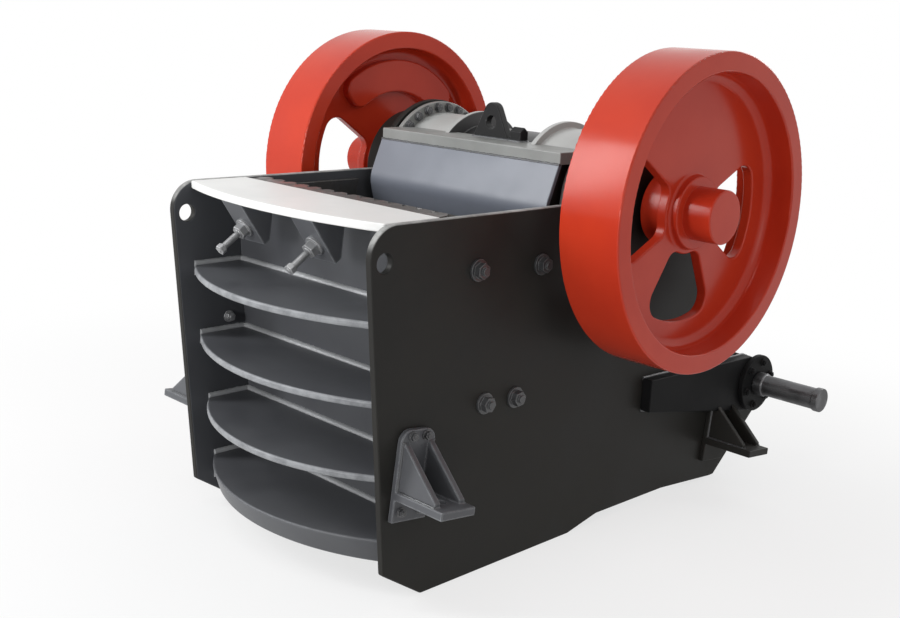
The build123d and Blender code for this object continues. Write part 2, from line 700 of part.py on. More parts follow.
def main():
    """Build and save every piece."""
    os.makedirs(OUT, exist_ok=True)
    for word, side in (("left", -1), ("right", 1)):
        plate = side_plate(side)
        x0, x1 = sided(side, PLATE_IN, PLATE_OUT)
        save(f"side_plate_{word}", plate - rod_x(BAR_R + RUN_GAP, x0 - 1, x1 + 1, *BAR_YZ))
        save(f"cheek_plate_{word}", cheek(side))
        save(f"clamp_seat_{word}", clamp_seat(side))
        save(f"bearing_housing_{word}", bearing_housing(side))
        save(f"adjuster_box_{word}", adjuster_box(side))
        save(f"bar_boss_{word}", boss(side))
        save(f"flywheel_{word}", flywheel(side))
        save(f"pitman_flange_{word}", pitman_flange(side))
        for name, _ in FOOT_MIDS:
            save(f"foot_{name}_{word}", foot(name, side))
    save("front_wall", prism_x(wall_outline(), -PLATE_IN, PLATE_IN))
    save("top_plate", top_plate())
    for index in range(len(RIB_TOPS)):
        save(f"front_rib_{index + 1}", front_rib(index))
    save("fixed_jaw_plate", fixed_jaw())
    save("moving_jaw_plate", moving_jaw())
    save("eccentric_shaft", shaft())
    save("pitman_barrel", pitman_barrel())
    save("pitman_arm", pitman_arm())
    for number, x in enumerate(PIT_RIBS_X, 1):
        save(f"pitman_rib_{number}", pitman_rib(x))
    save("pitman_hood", hood())
    save("pitman_top_bar", top_bar())
    save("lifting_lug", lifting_lug())
    save("top_bracket", top_bracket())
    save("toggle_plate", toggle_plate())
    save("toggle_seat", prism_x(seat_outline(), -SEAT_HALF, SEAT_HALF))
    save("toggle_beam", prism_x(BEAM, -PLATE_IN, PLATE_IN))
    save("rear_wall", rear_wall())
    save("cross_bar", cross_bar())


main()
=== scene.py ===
"""Looks of a jaw crusher: paints, bolts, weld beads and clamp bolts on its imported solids.

X runs across the machine, +Y to its rear and +Z up. Sizes are in metres, and
points in the side view are (y, z) from the main shaft axis.
"""

import logging
import math
from dataclasses import dataclass, field, replace
from enum import Enum
from functools import partial, reduce
from typing import ClassVar

import bmesh
import bpy
from mathutils import Matrix, Vector


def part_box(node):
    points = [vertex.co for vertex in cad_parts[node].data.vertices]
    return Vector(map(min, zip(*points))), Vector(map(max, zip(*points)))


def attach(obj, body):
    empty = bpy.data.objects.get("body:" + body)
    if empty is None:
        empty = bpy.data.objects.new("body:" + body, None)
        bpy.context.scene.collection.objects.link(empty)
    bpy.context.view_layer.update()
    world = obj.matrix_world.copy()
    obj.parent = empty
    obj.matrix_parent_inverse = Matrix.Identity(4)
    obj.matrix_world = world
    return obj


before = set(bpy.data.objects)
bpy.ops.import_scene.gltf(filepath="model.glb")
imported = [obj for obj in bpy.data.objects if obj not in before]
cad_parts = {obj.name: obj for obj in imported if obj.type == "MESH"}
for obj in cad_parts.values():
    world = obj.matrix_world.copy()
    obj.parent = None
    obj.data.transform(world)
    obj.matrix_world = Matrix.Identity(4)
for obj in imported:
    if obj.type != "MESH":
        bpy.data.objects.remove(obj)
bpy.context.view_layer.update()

LOG = logging.getLogger("jaw_crusher")
Colour = tuple[float, float, float]
Place = tuple[float, float, float]
SideView = tuple[float, float]
Span = tuple[float, float]
Size = tuple[float, float]
Spot = tuple[Vector, Vector]
Material = bpy.types.Material
Object = bpy.types.Object
Outputs = bpy.types.bpy_prop_collection
Socket = bpy.types.NodeSocket
Tree = bpy.types.NodeTree
Value = float | int | bool | str | tuple | Socket | Material

WHITE: Colour = (1.0, 1.0, 1.0)
BEVEL_ANGLE = 32.0


class Body(Enum):
    """The CAD bodies that a piece can move with."""

    FRAME = "frame"
    ROTOR = "rotor"
    PITMAN = "pitman"


class Slot(Enum):
    """The record's finishes."""

    CHARCOAL = "charcoal_paint"
    RIB = "rib_paint"
    RED = "red_paint"
    BLUE_GREY = "blue_grey_paint"
    GREY = "grey_paint"
    PALE = "pale_top"
    BLACK = "black_paint"
    WEAR = "wear_steel"
    STEEL = "bare_steel"


class Extra(Enum):
    """Finishes beside the record's own, for added pieces and for nodes in two tones; several of them carry
    painted light and shade.
    """

    BEAD = "weld bead"
    DARK_BEAD = "dark weld bead"
    BOLT = "bolt"
    CLAMP = "clamp bolt"
    PLATE = "side plate"
    RIB_FRONT = "rib with a worn front"
    BARREL = "barrel"
    SHADED_ADJUSTER = "adjuster"


class Side(Enum):
    """Left and right of the machine, with the sign of X."""

    LEFT = -1
    RIGHT = 1


class EdgeWidth(Enum):
    """Widths of the rounded edges on the CAD nodes."""

    FINE = 0.003
    SOFT = 0.004
    TOP_PLATE = 0.005
    SIDE_PLATE = 0.006
    RIB = 0.010


@dataclass(frozen=True)
class Patches:
    """How a mask breaks up into soft patches."""

    octaves: float
    span: Span
    least: float
    rough: float = 0.6


class Graph:
    """Adds and joins the nodes of one node tree."""

    def __init__(self, tree: Tree) -> None:
        """Keep the tree that the nodes go into."""
        self.tree = tree

    def add(self, kind: str, inputs: dict[str | int, Value] | None = None,
            **settings: Value) -> bpy.types.Node:
        """Add a node.

        Args:
            kind: Blender's name for the node type.
            inputs: values or sockets for its inputs, by name or place.
            **settings: the node's own properties.

        Returns:
            The new node.
        """
        node = self.tree.nodes.new(kind)
        for name, value in settings.items():
            setattr(node, name, value)
        for key, value in (inputs or {}).items():
            self.feed(node.inputs[key], value)
        return node

    def feed(self, socket: Socket, value: Value) -> None:
        """Join a socket to another, or set its own value.

        Args:
            socket: the input to fill.
            value: an output socket, or a plain value.
        """
        if isinstance(value, Socket):
            self.tree.links.new(value, socket)
        else:
            socket.default_value = value

    def group(self, tree: Tree, values: dict[str, float]) -> Outputs:
        """Add a shader group with values for its inputs, and give its outputs."""
        return self.add("ShaderNodeGroup", values, node_tree=tree).outputs

    def place(self) -> Socket:
        """Give the Object coordinates."""
        return self.add("ShaderNodeTexCoord").outputs["Object"]

    def axes(self, vector: Value) -> Outputs:
        """Split a vector into its X, Y and Z sockets."""
        return self.add("ShaderNodeSeparateXYZ", {0: vector}).outputs

    def math(self, operation: str, *values: Value) -> Socket:
        """Add a Math node of an operation on values, and give its result."""
        return self.add("ShaderNodeMath", dict(enumerate(values)), operation=operation).outputs[0]

    def product(self, *values: Value) -> Socket:
        """Multiply values one after another."""
        return reduce(partial(self.math, "MULTIPLY"), values)

    def ramp(self, value: Value, low: float, high: float, start: float = 0.0, end: float = 1.0) -> Socket:
        """Map one span of a value smoothly to another.

        Args:
            value: what to map.
            low: the value that gives start.
            high: the value that gives end.
            start: result at low.
            end: result at high.

        Returns:
            The mapped value's socket.
        """
        spans = {0: value, 1: low, 2: high, 3: start, 4: end}
        node = self.add("ShaderNodeMapRange", spans, interpolation_type="SMOOTHSTEP")
        return node.outputs[0]

    def mix(self, share: Value, first: Value, second: Value) -> Socket:
        """Mix two colours.

        Args:
            share: how much of the second shows.
            first: colour at share 0.
            second: colour at share 1.

        Returns:
            The mixed colour's socket.
        """
        node = self.add("ShaderNodeMix", data_type="RGBA")
        for index, value in {0: share, 6: first, 7: second}.items():
            self.feed(node.inputs[index], value)
        return node.outputs[2]

    def noise(self, place: Value, scale: Value, octaves: float, rough: float = 0.55) -> Socket:
        """Add a noise pattern.

        Args:
            place: coordinates to read.
            scale: features per metre.
            octaves: layers of finer noise.
            rough: strength of the finer noise.

        Returns:
            The noise value's socket.
        """
        values = {"Vector": place, "Scale": scale, "Detail": octaves, "Roughness": rough}
        return self.add("ShaderNodeTexNoise", values).outputs[0]

    def patches(self, place: Value, scale: Value, look: Patches) -> Socket:
        """Add a mask of soft patches at a scale."""
        noise = self.noise(place, scale, look.octaves, look.rough)
        return self.ramp(noise, *look.span, look.least)


def rgba(colour: Colour) -> tuple[float, float, float, float]:
    """Give a colour its alpha."""
    return (*colour, 1.0)


def empty_graph(owner: Material | bpy.types.World) -> Graph:
    """Switch a material or a world to nodes, with none in it.

    Args:
        owner: the material or world.

    Returns:
        The graph of its node tree.
    """
    owner.use_nodes = True
    owner.node_tree.nodes.clear()
    return Graph(owner.node_tree)


class SurfaceGroups:
    """Shader node groups that the finishes share, each built once."""

    CLOUD_OCTAVES = 4.0
    CLOUD_SPAN: Span = (0.32, 0.68)
    FINE_OCTAVES = 2.0
    FINE_ROUGH = 0.5
    DENT_SCALE = 22.0
    DENT_SHARE = 0.6
    PEEL_SHARE = 0.4
    BEVEL_SAMPLES = 6
    EDGE_COSINES: Span = (0.995, 0.86)
    # Patches that break up the edges' chipped paint and painted highlight.
    WEAR_AND_HIGHLIGHT_PATCHES = Patches(4.0, (0.34, 0.62), 0.35)
    DUST_SCALE = 5.0
    DUST_PATCHES = Patches(5.0, (0.30, 0.70), 0.35)
    # Painted light on upper or front faces, broken up in patches.
    PAINTED_LIGHT_SCALE = 16.0
    PAINTED_LIGHT_PATCHES = Patches(4.0, (0.30, 0.66), 0.45)
    PAINTED_LIGHT_FACING: Span = (0.2, 0.7)
    PAINTED_LIGHT_FADE = 0.06
    BAND_FADE = 0.001

    def __init__(self) -> None:
        """Build the groups."""
        self.mottle = self.make_mottle()
        self.wear = self.make_wear_and_highlight()
        self.dust = self.make_dust()
        self.painted_light = self.make_painted_light()
        self.band = self.make_band()

    @staticmethod
    def open_group(name: str, inputs: dict[str, float],
                   *outputs: str) -> tuple[Graph, dict[str, Socket], dict[str, Socket]]:
        """Start a shader group with named sockets.

        Args:
            name: the group's name.
            inputs: named float inputs and their default values.
            *outputs: named float outputs.

        Returns:
            The graph, its given values by name, and its results by name.
        """
        tree = bpy.data.node_groups.new(name, "ShaderNodeTree")
        kind = "NodeSocketFloat"
        for label, value in inputs.items():
            socket = tree.interface.new_socket(name=label, in_out="INPUT", socket_type=kind)
            socket.default_value = value
        for label in outputs:
            tree.interface.new_socket(name=label, in_out="OUTPUT", socket_type=kind)
        graph = Graph(tree)
        entry, exit_node = graph.add("NodeGroupInput"), graph.add("NodeGroupOutput")
        given = {label: entry.outputs[label] for label in inputs}
        return graph, given, {label: exit_node.inputs[label] for label in outputs}

    def make_mottle(self) -> Tree:
        """Make the group of cloudy shade and a sprayed-paint surface height.

        Returns:
            The group's tree.
        """
        graph, given, result = self.open_group(
            "paint_mottle", {"Cloud Scale": 3.0, "Peel Scale": 260.0}, "Shade", "Height")
        place = graph.place()
        cloud = graph.noise(place, given["Cloud Scale"], self.CLOUD_OCTAVES)
        peel = graph.noise(place, given["Peel Scale"], self.FINE_OCTAVES, self.FINE_ROUGH)
        dents = graph.noise(place, self.DENT_SCALE, self.FINE_OCTAVES, self.FINE_ROUGH)
        peel_part = graph.product(peel, self.PEEL_SHARE)
        graph.feed(result["Shade"], graph.ramp(cloud, *self.CLOUD_SPAN))
        graph.feed(result["Height"], graph.math("MULTIPLY_ADD", dents, self.DENT_SHARE, peel_part))
        return graph.tree

    def make_wear_and_highlight(self) -> Tree:
        """Make the group of outer edges, lightened both for chipped paint and as a painted highlight, broken
        up where the paint still holds.

        Returns:
            The group's tree.
        """
        graph, given, result = self.open_group(
            "edge_wear", {"Radius": 0.008, "Amount": 1.0, "Breakup": 24.0}, "Mask")
        rounded = graph.add("ShaderNodeBevel", {"Radius": given["Radius"]}, samples=self.BEVEL_SAMPLES)
        normal = graph.add("ShaderNodeNewGeometry").outputs["Normal"]
        dot = graph.add("ShaderNodeVectorMath", {0: rounded.outputs[0], 1: normal}, operation="DOT_PRODUCT")
        edge = graph.ramp(dot.outputs["Value"], *self.EDGE_COSINES)
        broken = graph.patches(graph.place(), given["Breakup"], self.WEAR_AND_HIGHLIGHT_PATCHES)
        graph.feed(result["Mask"], graph.product(edge, broken, given["Amount"]))
        return graph.tree

    def make_dust(self) -> Tree:
        """Make the group of dirt that thins out upwards from the floor.

        Returns:
            The group's tree.
        """
        graph, given, result = self.open_group("floor_dust", {"Reach": 0.9, "Amount": 0.5}, "Mask")
        place = graph.place()
        share = graph.math("DIVIDE", graph.axes(place)["Z"], given["Reach"])
        fade = graph.ramp(share, 1.0, 0.0)
        patches = graph.patches(place, self.DUST_SCALE, self.DUST_PATCHES)
        graph.feed(result["Mask"], graph.product(fade, patches, given["Amount"]))
        return graph.tree

    def make_painted_light(self) -> Tree:
        """Make the group of upper or front faces above a height, painted pale as painted light: lit fronts,
        and the sky reflected on tops.

        Returns:
            The group's tree.
        """
        graph, given, result = self.open_group(
            "face_rub", {"Height": 1.2, "Up": 1.0, "Front": 0.0, "Amount": 0.5}, "Mask")
        place = graph.place()
        turned = graph.axes(graph.add("ShaderNodeNewGeometry").outputs["Normal"])
        forward = graph.product(turned["Y"], graph.product(given["Front"], -1.0))
        facing = graph.math("MULTIPLY_ADD", turned["Z"], given["Up"], forward)
        above = graph.math("SUBTRACT", graph.axes(place)["Z"], given["Height"])
        graph.feed(result["Mask"], graph.product(
            graph.ramp(facing, *self.PAINTED_LIGHT_FACING), graph.ramp(above, 0.0, self.PAINTED_LIGHT_FADE),
            graph.patches(place, self.PAINTED_LIGHT_SCALE, self.PAINTED_LIGHT_PATCHES), given["Amount"]))
        return graph.tree

    def make_band(self) -> Tree:
        """Make the group of a band about the machine's middle plane.

        Returns:
            The group's tree.
        """
        graph, given, result = self.open_group("middle_band", {"Half Width": 0.2}, "Mask")
        off_middle = graph.math("ABSOLUTE", graph.axes(graph.place())["X"])
        past = graph.math("SUBTRACT", off_middle, given["Half Width"])
        graph.feed(result["Mask"], graph.ramp(past, self.BAND_FADE, -self.BAND_FADE))
        return graph.tree


@dataclass(frozen=True)
class Finish:
    """A painted surface: cloudy colour, edges lightened for chipped paint and as a painted highlight, and,
    where given, dirt, a band of another tone and faces painted lighter as painted light.
    """

    name: str
    colour: Colour
    shade: Colour
    # The edge colour below is both chipped paint and a painted highlight along the edges.
    worn: Colour
    rough: Span = (0.40, 0.52)
    coat: float = 0.15
    coat_rough: float = 0.2
    gloss: float = 0.5
    metal: float = 0.0
    cloud_scale: float = 3.0
    wear: float = 0.6
    wear_and_highlight_radius: float = 0.007
    bump: float = 0.08
    bump_depth: float = 0.004
    dust: float = 0.0
    dust_colour: Colour = (0.075, 0.068, 0.054)
    dust_rough: float = 0.25
    band: float = 0.0
    band_colour: Colour = (0.03, 0.03, 0.03)
    # Faces painted lighter as painted light: fronts where the lamp falls, and tops that reflect the sky.
    painted_light: float = 0.0
    painted_light_height: float = 1.2
    painted_light_up: float = 1.0
    painted_light_front: float = 0.0
    painted_light_colour: Colour = (0.55, 0.55, 0.54)

    def make(self, groups: SurfaceGroups) -> Material:
        """Build the material.

        Args:
            groups: the shared shader groups.

        Returns:
            The new material.
        """
        material = bpy.data.materials.new(self.name)
        graph = empty_graph(material)
        mottle = graph.group(groups.mottle, {"Cloud Scale": self.cloud_scale})
        base = graph.mix(mottle["Shade"], rgba(self.colour), rgba(self.shade))
        rough = graph.ramp(mottle["Shade"], 0.0, 1.0, *self.rough)
        if self.dust:
            dust = graph.group(groups.dust, {"Amount": self.dust})["Mask"]
            base = graph.mix(dust, base, rgba(self.dust_colour))
            rough = graph.math("MULTIPLY_ADD", dust, self.dust_rough, rough)
        if self.band:
            band = graph.group(groups.band, {"Half Width": self.band})["Mask"]
            base = graph.mix(band, base, rgba(self.band_colour))
        # Edges lightened for chipped paint and as a painted highlight.
        wear = graph.group(groups.wear, {"Radius": self.wear_and_highlight_radius, "Amount": self.wear})["Mask"]
        base = graph.mix(wear, base, rgba(self.worn))
        # Painted light on upper or front faces.
        if self.painted_light:
            painted_light = graph.group(groups.painted_light, {
                "Height": self.painted_light_height, "Up": self.painted_light_up, "Front": self.painted_light_front, "Amount": self.painted_light,
            })["Mask"]
            base = graph.mix(painted_light, base, rgba(self.painted_light_colour))
        bump = graph.add("ShaderNodeBump", {
            "Strength": self.bump, "Distance": self.bump_depth, "Height": mottle["Height"],
        })
        shader = graph.add("ShaderNodeBsdfPrincipled", {
            "Base Color": base, "Roughness": rough, "Metallic": self.metal, "Normal": bump.outputs[0],
            "Coat Weight": self.coat, "Coat Roughness": self.coat_rough, "Specular IOR Level": self.gloss,
        })
        graph.add("ShaderNodeOutputMaterial", {"Surface": shader.outputs[0]})
        return material


@dataclass(frozen=True)
class Steel(Finish):
    """Bare steel with darker patches, bright edges and a fine grain."""

    rough: Span = (0.34, 0.55)
    coat: float = 0.0
    metal: float = 0.85
    cloud_scale: float = 14.0
    wear: float = 0.7
    wear_and_highlight_radius: float = 0.004
    bump: float = 0.12
    bump_depth: float = 0.003


CHARCOAL = Finish(
    "charcoal_satin", (0.0228, 0.0222, 0.0208), (0.0285, 0.0276, 0.0252), (0.09, 0.09, 0.088),
    rough=(0.42, 0.52), coat=0.02, wear=0.5, dust=0.2, dust_colour=(0.026, 0.024, 0.019), gloss=0.11)
# The charcoal above and this rib grey are shaded and lit copies of one body paint: the rib grey is lighter
# and bluer as painted light from the sky on the front wall, ribs, clamp seats and front feet.
RIB_GREY = Finish(
    "rib_blue_grey", (0.086, 0.089, 0.098), (0.106, 0.110, 0.119), (0.36, 0.37, 0.39),
    rough=(0.36, 0.46), coat=0.06, wear=0.8, wear_and_highlight_radius=0.012, dust=0.1, gloss=0.3)
FINISHES: dict[Slot | Extra, Finish] = {
    Slot.CHARCOAL: CHARCOAL,
    Slot.RIB: RIB_GREY,
    Slot.RED: Finish(
        "flywheel_red", (0.57, 0.043, 0.016), (0.52, 0.036, 0.014), (0.66, 0.12, 0.075),
        rough=(0.20, 0.26), coat=0.04, coat_rough=0.12, wear=0.45, bump=0.025, gloss=0.24),
    Slot.BLUE_GREY: Finish(
        "hood_blue_grey", (0.164, 0.179, 0.216), (0.149, 0.163, 0.197), (0.34, 0.36, 0.39),
        rough=(0.38, 0.48), coat=0.1, wear=0.45, bump=0.05),
    Slot.GREY: Finish(
        "pitman_grey", (0.28, 0.286, 0.277), (0.22, 0.226, 0.217), (0.50, 0.51, 0.50),
        rough=(0.36, 0.5), coat=0.1, wear=0.7),
    # The top plate's near-white colour stands for the bright sky reflected by its up-facing paint: painted
    # reflection.
    Slot.PALE: Finish(
        "pale_top_face", (0.82, 0.82, 0.805), (0.77, 0.77, 0.755), (0.84, 0.84, 0.83),
        rough=(0.44, 0.54), coat=0.15, coat_rough=0.3, wear=0.3, bump=0.04),
    Slot.BLACK: Finish(
        "lug_black", (0.012, 0.012, 0.0125), (0.017, 0.017, 0.0175), (0.16, 0.16, 0.16),
        rough=(0.40, 0.5), coat=0.02, wear=0.9, gloss=0.14),
    Slot.WEAR: Steel(
        "jaw_steel", (0.12, 0.117, 0.113), (0.085, 0.082, 0.078), (0.36, 0.35, 0.34), bump=0.1),
    Slot.STEEL: Steel(
        "dull_steel", (0.125, 0.125, 0.129), (0.105, 0.105, 0.108), (0.34, 0.34, 0.35)),
    # The rib weld beads are pale grey, much lighter than the rib paint, so that they carry the bright line
    # along the rib roots: painted highlight.
    Extra.BEAD: Finish(
        "weld_bead", (0.43, 0.44, 0.45), (0.33, 0.338, 0.348), (0.52, 0.53, 0.54),
        rough=(0.3, 0.42), wear=0.3, bump=0.15),
    Extra.DARK_BEAD: Finish(
        "dark_weld_bead", (0.075, 0.077, 0.082), (0.055, 0.057, 0.061), (0.2, 0.2, 0.205),
        rough=(0.32, 0.44), wear=0.3, bump=0.15),
    Extra.BOLT: Finish(
        "bolt_black", (0.040, 0.041, 0.043), (0.060, 0.061, 0.064), (0.26, 0.26, 0.27),
        rough=(0.3, 0.42), coat=0.2, wear=0.9, wear_and_highlight_radius=0.004),
    Extra.CLAMP: Steel(
        "clamp_bolt_steel", (0.38, 0.383, 0.39), (0.28, 0.283, 0.29), (0.58, 0.58, 0.59),
        rough=(0.3, 0.42), metal=0.55),
    # Side plates: the inner faces get the rib grey as painted light where the front light reaches them, and
    # the up-facing tops are painted pale as a painted sky reflection.
    Extra.PLATE: replace(
        CHARCOAL, name="plate_two_tone", painted_light=0.8, band=0.5595, band_colour=(0.080, 0.083, 0.091)),
    # Upper three ribs: their front faces are painted lighter as painted light, where the lamp falls on them.
    Extra.RIB_FRONT: replace(
        RIB_GREY, name="rib_front_worn", painted_light=0.8, painted_light_height=-1.0, painted_light_up=0.0, painted_light_front=1.0,
        painted_light_colour=(0.36, 0.37, 0.385)),
    # The barrel is near black in a band about its middle, between its rings.
    Extra.BARREL: Finish(
        "barrel_two_tone", (0.46, 0.466, 0.455), (0.38, 0.386, 0.375), (0.60, 0.61, 0.60),
        rough=(0.36, 0.5), coat=0.1, wear=0.7, band=0.2310, band_colour=(0.018, 0.018, 0.019)),
    # Adjuster boxes, bosses and boss bolts are near black as painted shade, for the flywheel's shadow over
    # them.
    Extra.SHADED_ADJUSTER: Finish(
        "adjuster_black", (0.009, 0.0092, 0.0096), (0.012, 0.0122, 0.0127), (0.05, 0.05, 0.052),
        rough=(0.45, 0.56), coat=0.0, wear=0.5, gloss=0.06),
}


class Workshop:
    """Places in the frame, the materials, and the ways to paint a node and hand over a piece."""

    def __init__(self) -> None:
        """Find the shaft axis and build the materials."""
        low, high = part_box("flywheel_right")
        self.axis_y = (low.y + high.y) / 2
        self.axis_z = (low.z + high.z) / 2
        groups = SurfaceGroups()
        self.materials = {key: finish.make(groups) for key, finish in FINISHES.items()}

    def at(self, x: float, y: float, z: float) -> Vector:
        """Turn a point measured from the shaft axis into a point of the frame."""
        return Vector((x, y + self.axis_y, z + self.axis_z))

    def paint(self, finish: Slot | Extra, *names: str) -> None:
        """Give CAD nodes a finish.

        Args:
            finish: which finish.
            *names: the nodes.
        """
        material = self.materials[finish]
        for name in names:
            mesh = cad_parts[name].data
            mesh.materials.clear()
            mesh.materials.append(material)
            LOG.info("%s painted %s", name, material.name)

    @staticmethod
    def hand_over(piece: Object, body: Body, slot: Slot) -> None:
        """Let a piece ride on its body.

        Args:
            piece: the finished object.
            body: the CAD body that it moves with.
            slot: the record's finish for it; not used.
        """
        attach(piece, body.value)
        LOG.info("%s rides on %s: %d faces", piece.name, body.value, len(piece.data.polygons))


def new_object(name: str, data: bpy.types.ID) -> Object:
    """Put a mesh, lamp or camera into the scene as an object.

    Args:
        name: the object's name.
        data: what it shows.

    Returns:
        The new object.
    """
    piece = bpy.data.objects.new(name, data)
    bpy.context.scene.collection.objects.link(piece)
    return piece


def add_bevel(piece: Object, width: float, segments: int) -> None:
    """Round the sharp edges of an object with a modifier.

    Args:
        piece: the object.
        width: width of the rounding.
        segments: faces across it.
    """
    bevel = piece.modifiers.new("rounded_edges", "BEVEL")
    bevel.width = width
    bevel.segments = segments
    bevel.limit_method = "ANGLE"
    bevel.angle_limit = math.radians(BEVEL_ANGLE)
    bevel.use_clamp_overlap = False
    bevel.harden_normals = True


def open_tree(name: str, inputs: dict[str, str], output: str) -> tuple[Graph, Outputs]:
    """Start a Geometry Nodes tree with named sockets.

    Args:
        name: the tree's name.
        inputs: its inputs by name, each with the last word of its socket type.
        output: name of the geometry that it gives.

    Returns:
        The graph and its given values.
    """
    tree = bpy.data.node_groups.new(name, "GeometryNodeTree")
    for label, kind in inputs.items():
        tree.interface.new_socket(name=label, in_out="INPUT", socket_type=f"NodeSocket{kind}")
    tree.interface.new_socket(name=output, in_out="OUTPUT", socket_type="NodeSocketGeometry")
    graph = Graph(tree)
    return graph, graph.add("NodeGroupInput").outputs


def close_tree(graph: Graph, geometry: Socket, finish: Socket) -> Tree:
    """End a Geometry Nodes tree with real geometry in its material.

    Args:
        graph: the tree's graph.
        geometry: what the tree made.
        finish: the given material.

    Returns:
        The tree.
    """
    real = graph.add("GeometryNodeRealizeInstances", {"Geometry": geometry})
    finished = graph.add("GeometryNodeSetMaterial", {"Geometry": real.outputs[0], "Material": finish})
    graph.add("NodeGroupOutput", {0: finished.outputs[0]})
    return graph.tree


def settle(piece: Object, tree: Tree, values: dict[str, Value]) -> None:
    """Run a Geometry Nodes tree on an object and keep the result as its plain mesh.

    Args:
        piece: the object with the points or lines to start from.
        tree: the tree.
        values: the tree's inputs by name.
    """
    modifier = piece.modifiers.new(tree.name, "NODES")
    modifier.node_group = tree
    for item in tree.interface.items_tree:
        if item.item_type == "SOCKET" and item.in_out == "INPUT" and item.name in values:
            modifier[item.identifier] = values[item.name]
    graph = bpy.context.evaluated_depsgraph_get()
    mesh = bpy.data.meshes.new_from_object(piece.evaluated_get(graph), depsgraph=graph)
    piece.modifiers.clear()
    old, piece.data = piece.data, mesh
    bpy.data.meshes.remove(old)


class EdgeFinish:
    """Rounded edges on the CAD nodes, made by modifiers so that their meshes stay as imported."""

    MERGE = 0.00002
    SHARP = 30.0
    FLAT = 0.4
    SEGMENTS = 3

    def __init__(self) -> None:
        """Build the tree that joins a node's loose triangles."""
        graph, given = open_tree("joined_faces", {"Geometry": "Geometry"}, "Geometry")
        merged = graph.add("GeometryNodeMergeByDistance", {"Geometry": given[0], "Distance": self.MERGE})
        turn = graph.add("GeometryNodeInputMeshEdgeAngle").outputs["Unsigned Angle"]
        limits = {0: turn, 1: math.radians(self.SHARP)}
        sharp = graph.add("FunctionNodeCompare", limits, operation="GREATER_THAN")
        plain = graph.add("GeometryNodeSetMeshNormal", {
            "Mesh": merged.outputs[0], "Remove Custom": True, "Edge Sharpness": sharp.outputs[0],
        }, mode="SHARPNESS")
        graph.add("NodeGroupOutput", {0: plain.outputs[0]})
        self.tree = graph.tree

    def finish(self, width: EdgeWidth, *names: str) -> None:
        """Round the edges of CAD nodes.

        Args:
            width: width of the rounding.
            *names: the nodes.
        """
        for name in names:
            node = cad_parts[name]
            join = node.modifiers.new("joined_faces", "NODES")
            join.node_group = self.tree
            flat = node.modifiers.new("flat_faces", "DECIMATE")
            flat.decimate_type = "DISSOLVE"
            flat.angle_limit = math.radians(self.FLAT)
            add_bevel(node, width.value, self.SEGMENTS)


@dataclass(frozen=True)
class BoltSet:
    """Hex bolts with round washers. The size of washer, head and stud is (radius, height)."""

    washer: Size = (0.040, 0.010)
    head: Size = (0.030, 0.024)
    stud: Size = (0.015, 0.010)
    rounding: float = 0.0022
    seed: int = 7

    SIDES: ClassVar[dict[str, int]] = {"Washer": 40, "Head": 6, "Stud": 24}
    SINK: ClassVar[float] = 0.002
    TWIST: ClassVar[Span] = (0.0, math.pi / 3)
    SEGMENTS: ClassVar[int] = 2

    def tree(self) -> Tree:
        """Build the tree, or find the one that an earlier set built.

        Returns:
            The Geometry Nodes tree.
        """
        name = "hex_bolts"
        if name in bpy.data.node_groups:
            return bpy.data.node_groups[name]
        sizes = {f"{part} {size}": "Float" for part in self.SIDES for size in ("Radius", "Height")}
        inputs = {"Points": "Geometry", **sizes, "Seed": "Int", "Finish": "Material"}
        graph, given = open_tree(name, inputs, "Bolts")
        joined = graph.add("GeometryNodeJoinGeometry")
        foot: Value = -self.SINK
        for part, sides in self.SIDES.items():
            tall = graph.math("ADD", given[f"{part} Height"], self.SINK)
            body = graph.add("GeometryNodeMeshCylinder", {
                "Vertices": sides, "Radius": given[f"{part} Radius"], "Depth": tall,
            })
            lift = graph.add("ShaderNodeCombineXYZ", {"Z": graph.math("MULTIPLY_ADD", tall, 0.5, foot)})
            moved = graph.add("GeometryNodeTransform", {
                "Geometry": body.outputs[0], "Translation": lift.outputs[0],
            })
            graph.feed(joined.inputs[0], moved.outputs[0])
            foot = graph.math("ADD", foot, given[f"{part} Height"])
        facing = graph.add("GeometryNodeInputNamedAttribute", {"Name": "facing"}, data_type="FLOAT_VECTOR")
        stand = graph.add("FunctionNodeAlignRotationToVector", {"Vector": facing.outputs[0]}, axis="Z")
        turn = graph.add("FunctionNodeRandomValue", {"Seed": given["Seed"]}, data_type="FLOAT")
        for socket, value in zip([s for s in turn.inputs if s.type == "VALUE"], self.TWIST):
            socket.default_value = value
        twist = graph.add("FunctionNodeAxisAngleToRotation", {
            "Axis": (0.0, 0.0, 1.0), "Angle": next(s for s in turn.outputs if s.type == "VALUE"),
        })
        turned = graph.add("FunctionNodeRotateRotation", {
            "Rotation": stand.outputs[0], "Rotate By": twist.outputs[0],
        }, rotation_space="LOCAL")
        placed = graph.add("GeometryNodeInstanceOnPoints", {
            "Points": given["Points"], "Instance": joined.outputs[0], "Rotation": turned.outputs[0],
        })
        return close_tree(graph, placed.outputs[0], given["Finish"])

    def make(self, name: str, spots: list[Spot], finish: Material) -> Object:
        """Set a bolt on each spot.

        Args:
            name: the piece's name.
            spots: place and outward direction of each bolt.
            finish: the bolts' material.

        Returns:
            The bolts as one object.
        """
        mesh = bpy.data.meshes.new(name)
        mesh.from_pydata([place for place, _ in spots], [], [])
        facing = mesh.attributes.new("facing", "FLOAT_VECTOR", "POINT")
        facing.data.foreach_set("vector", [c for _, way in spots for c in way.normalized()])
        piece = new_object(name, mesh)
        values: dict[str, Value] = {"Seed": self.seed, "Finish": finish}
        for part, (radius, height) in zip(self.SIDES, (self.washer, self.head, self.stud)):
            values |= {f"{part} Radius": radius, f"{part} Height": height}
        settle(piece, self.tree(), values)
        for polygon in piece.data.polygons:
            polygon.use_smooth = True
        add_bevel(piece, self.rounding, self.SEGMENTS)
        return piece


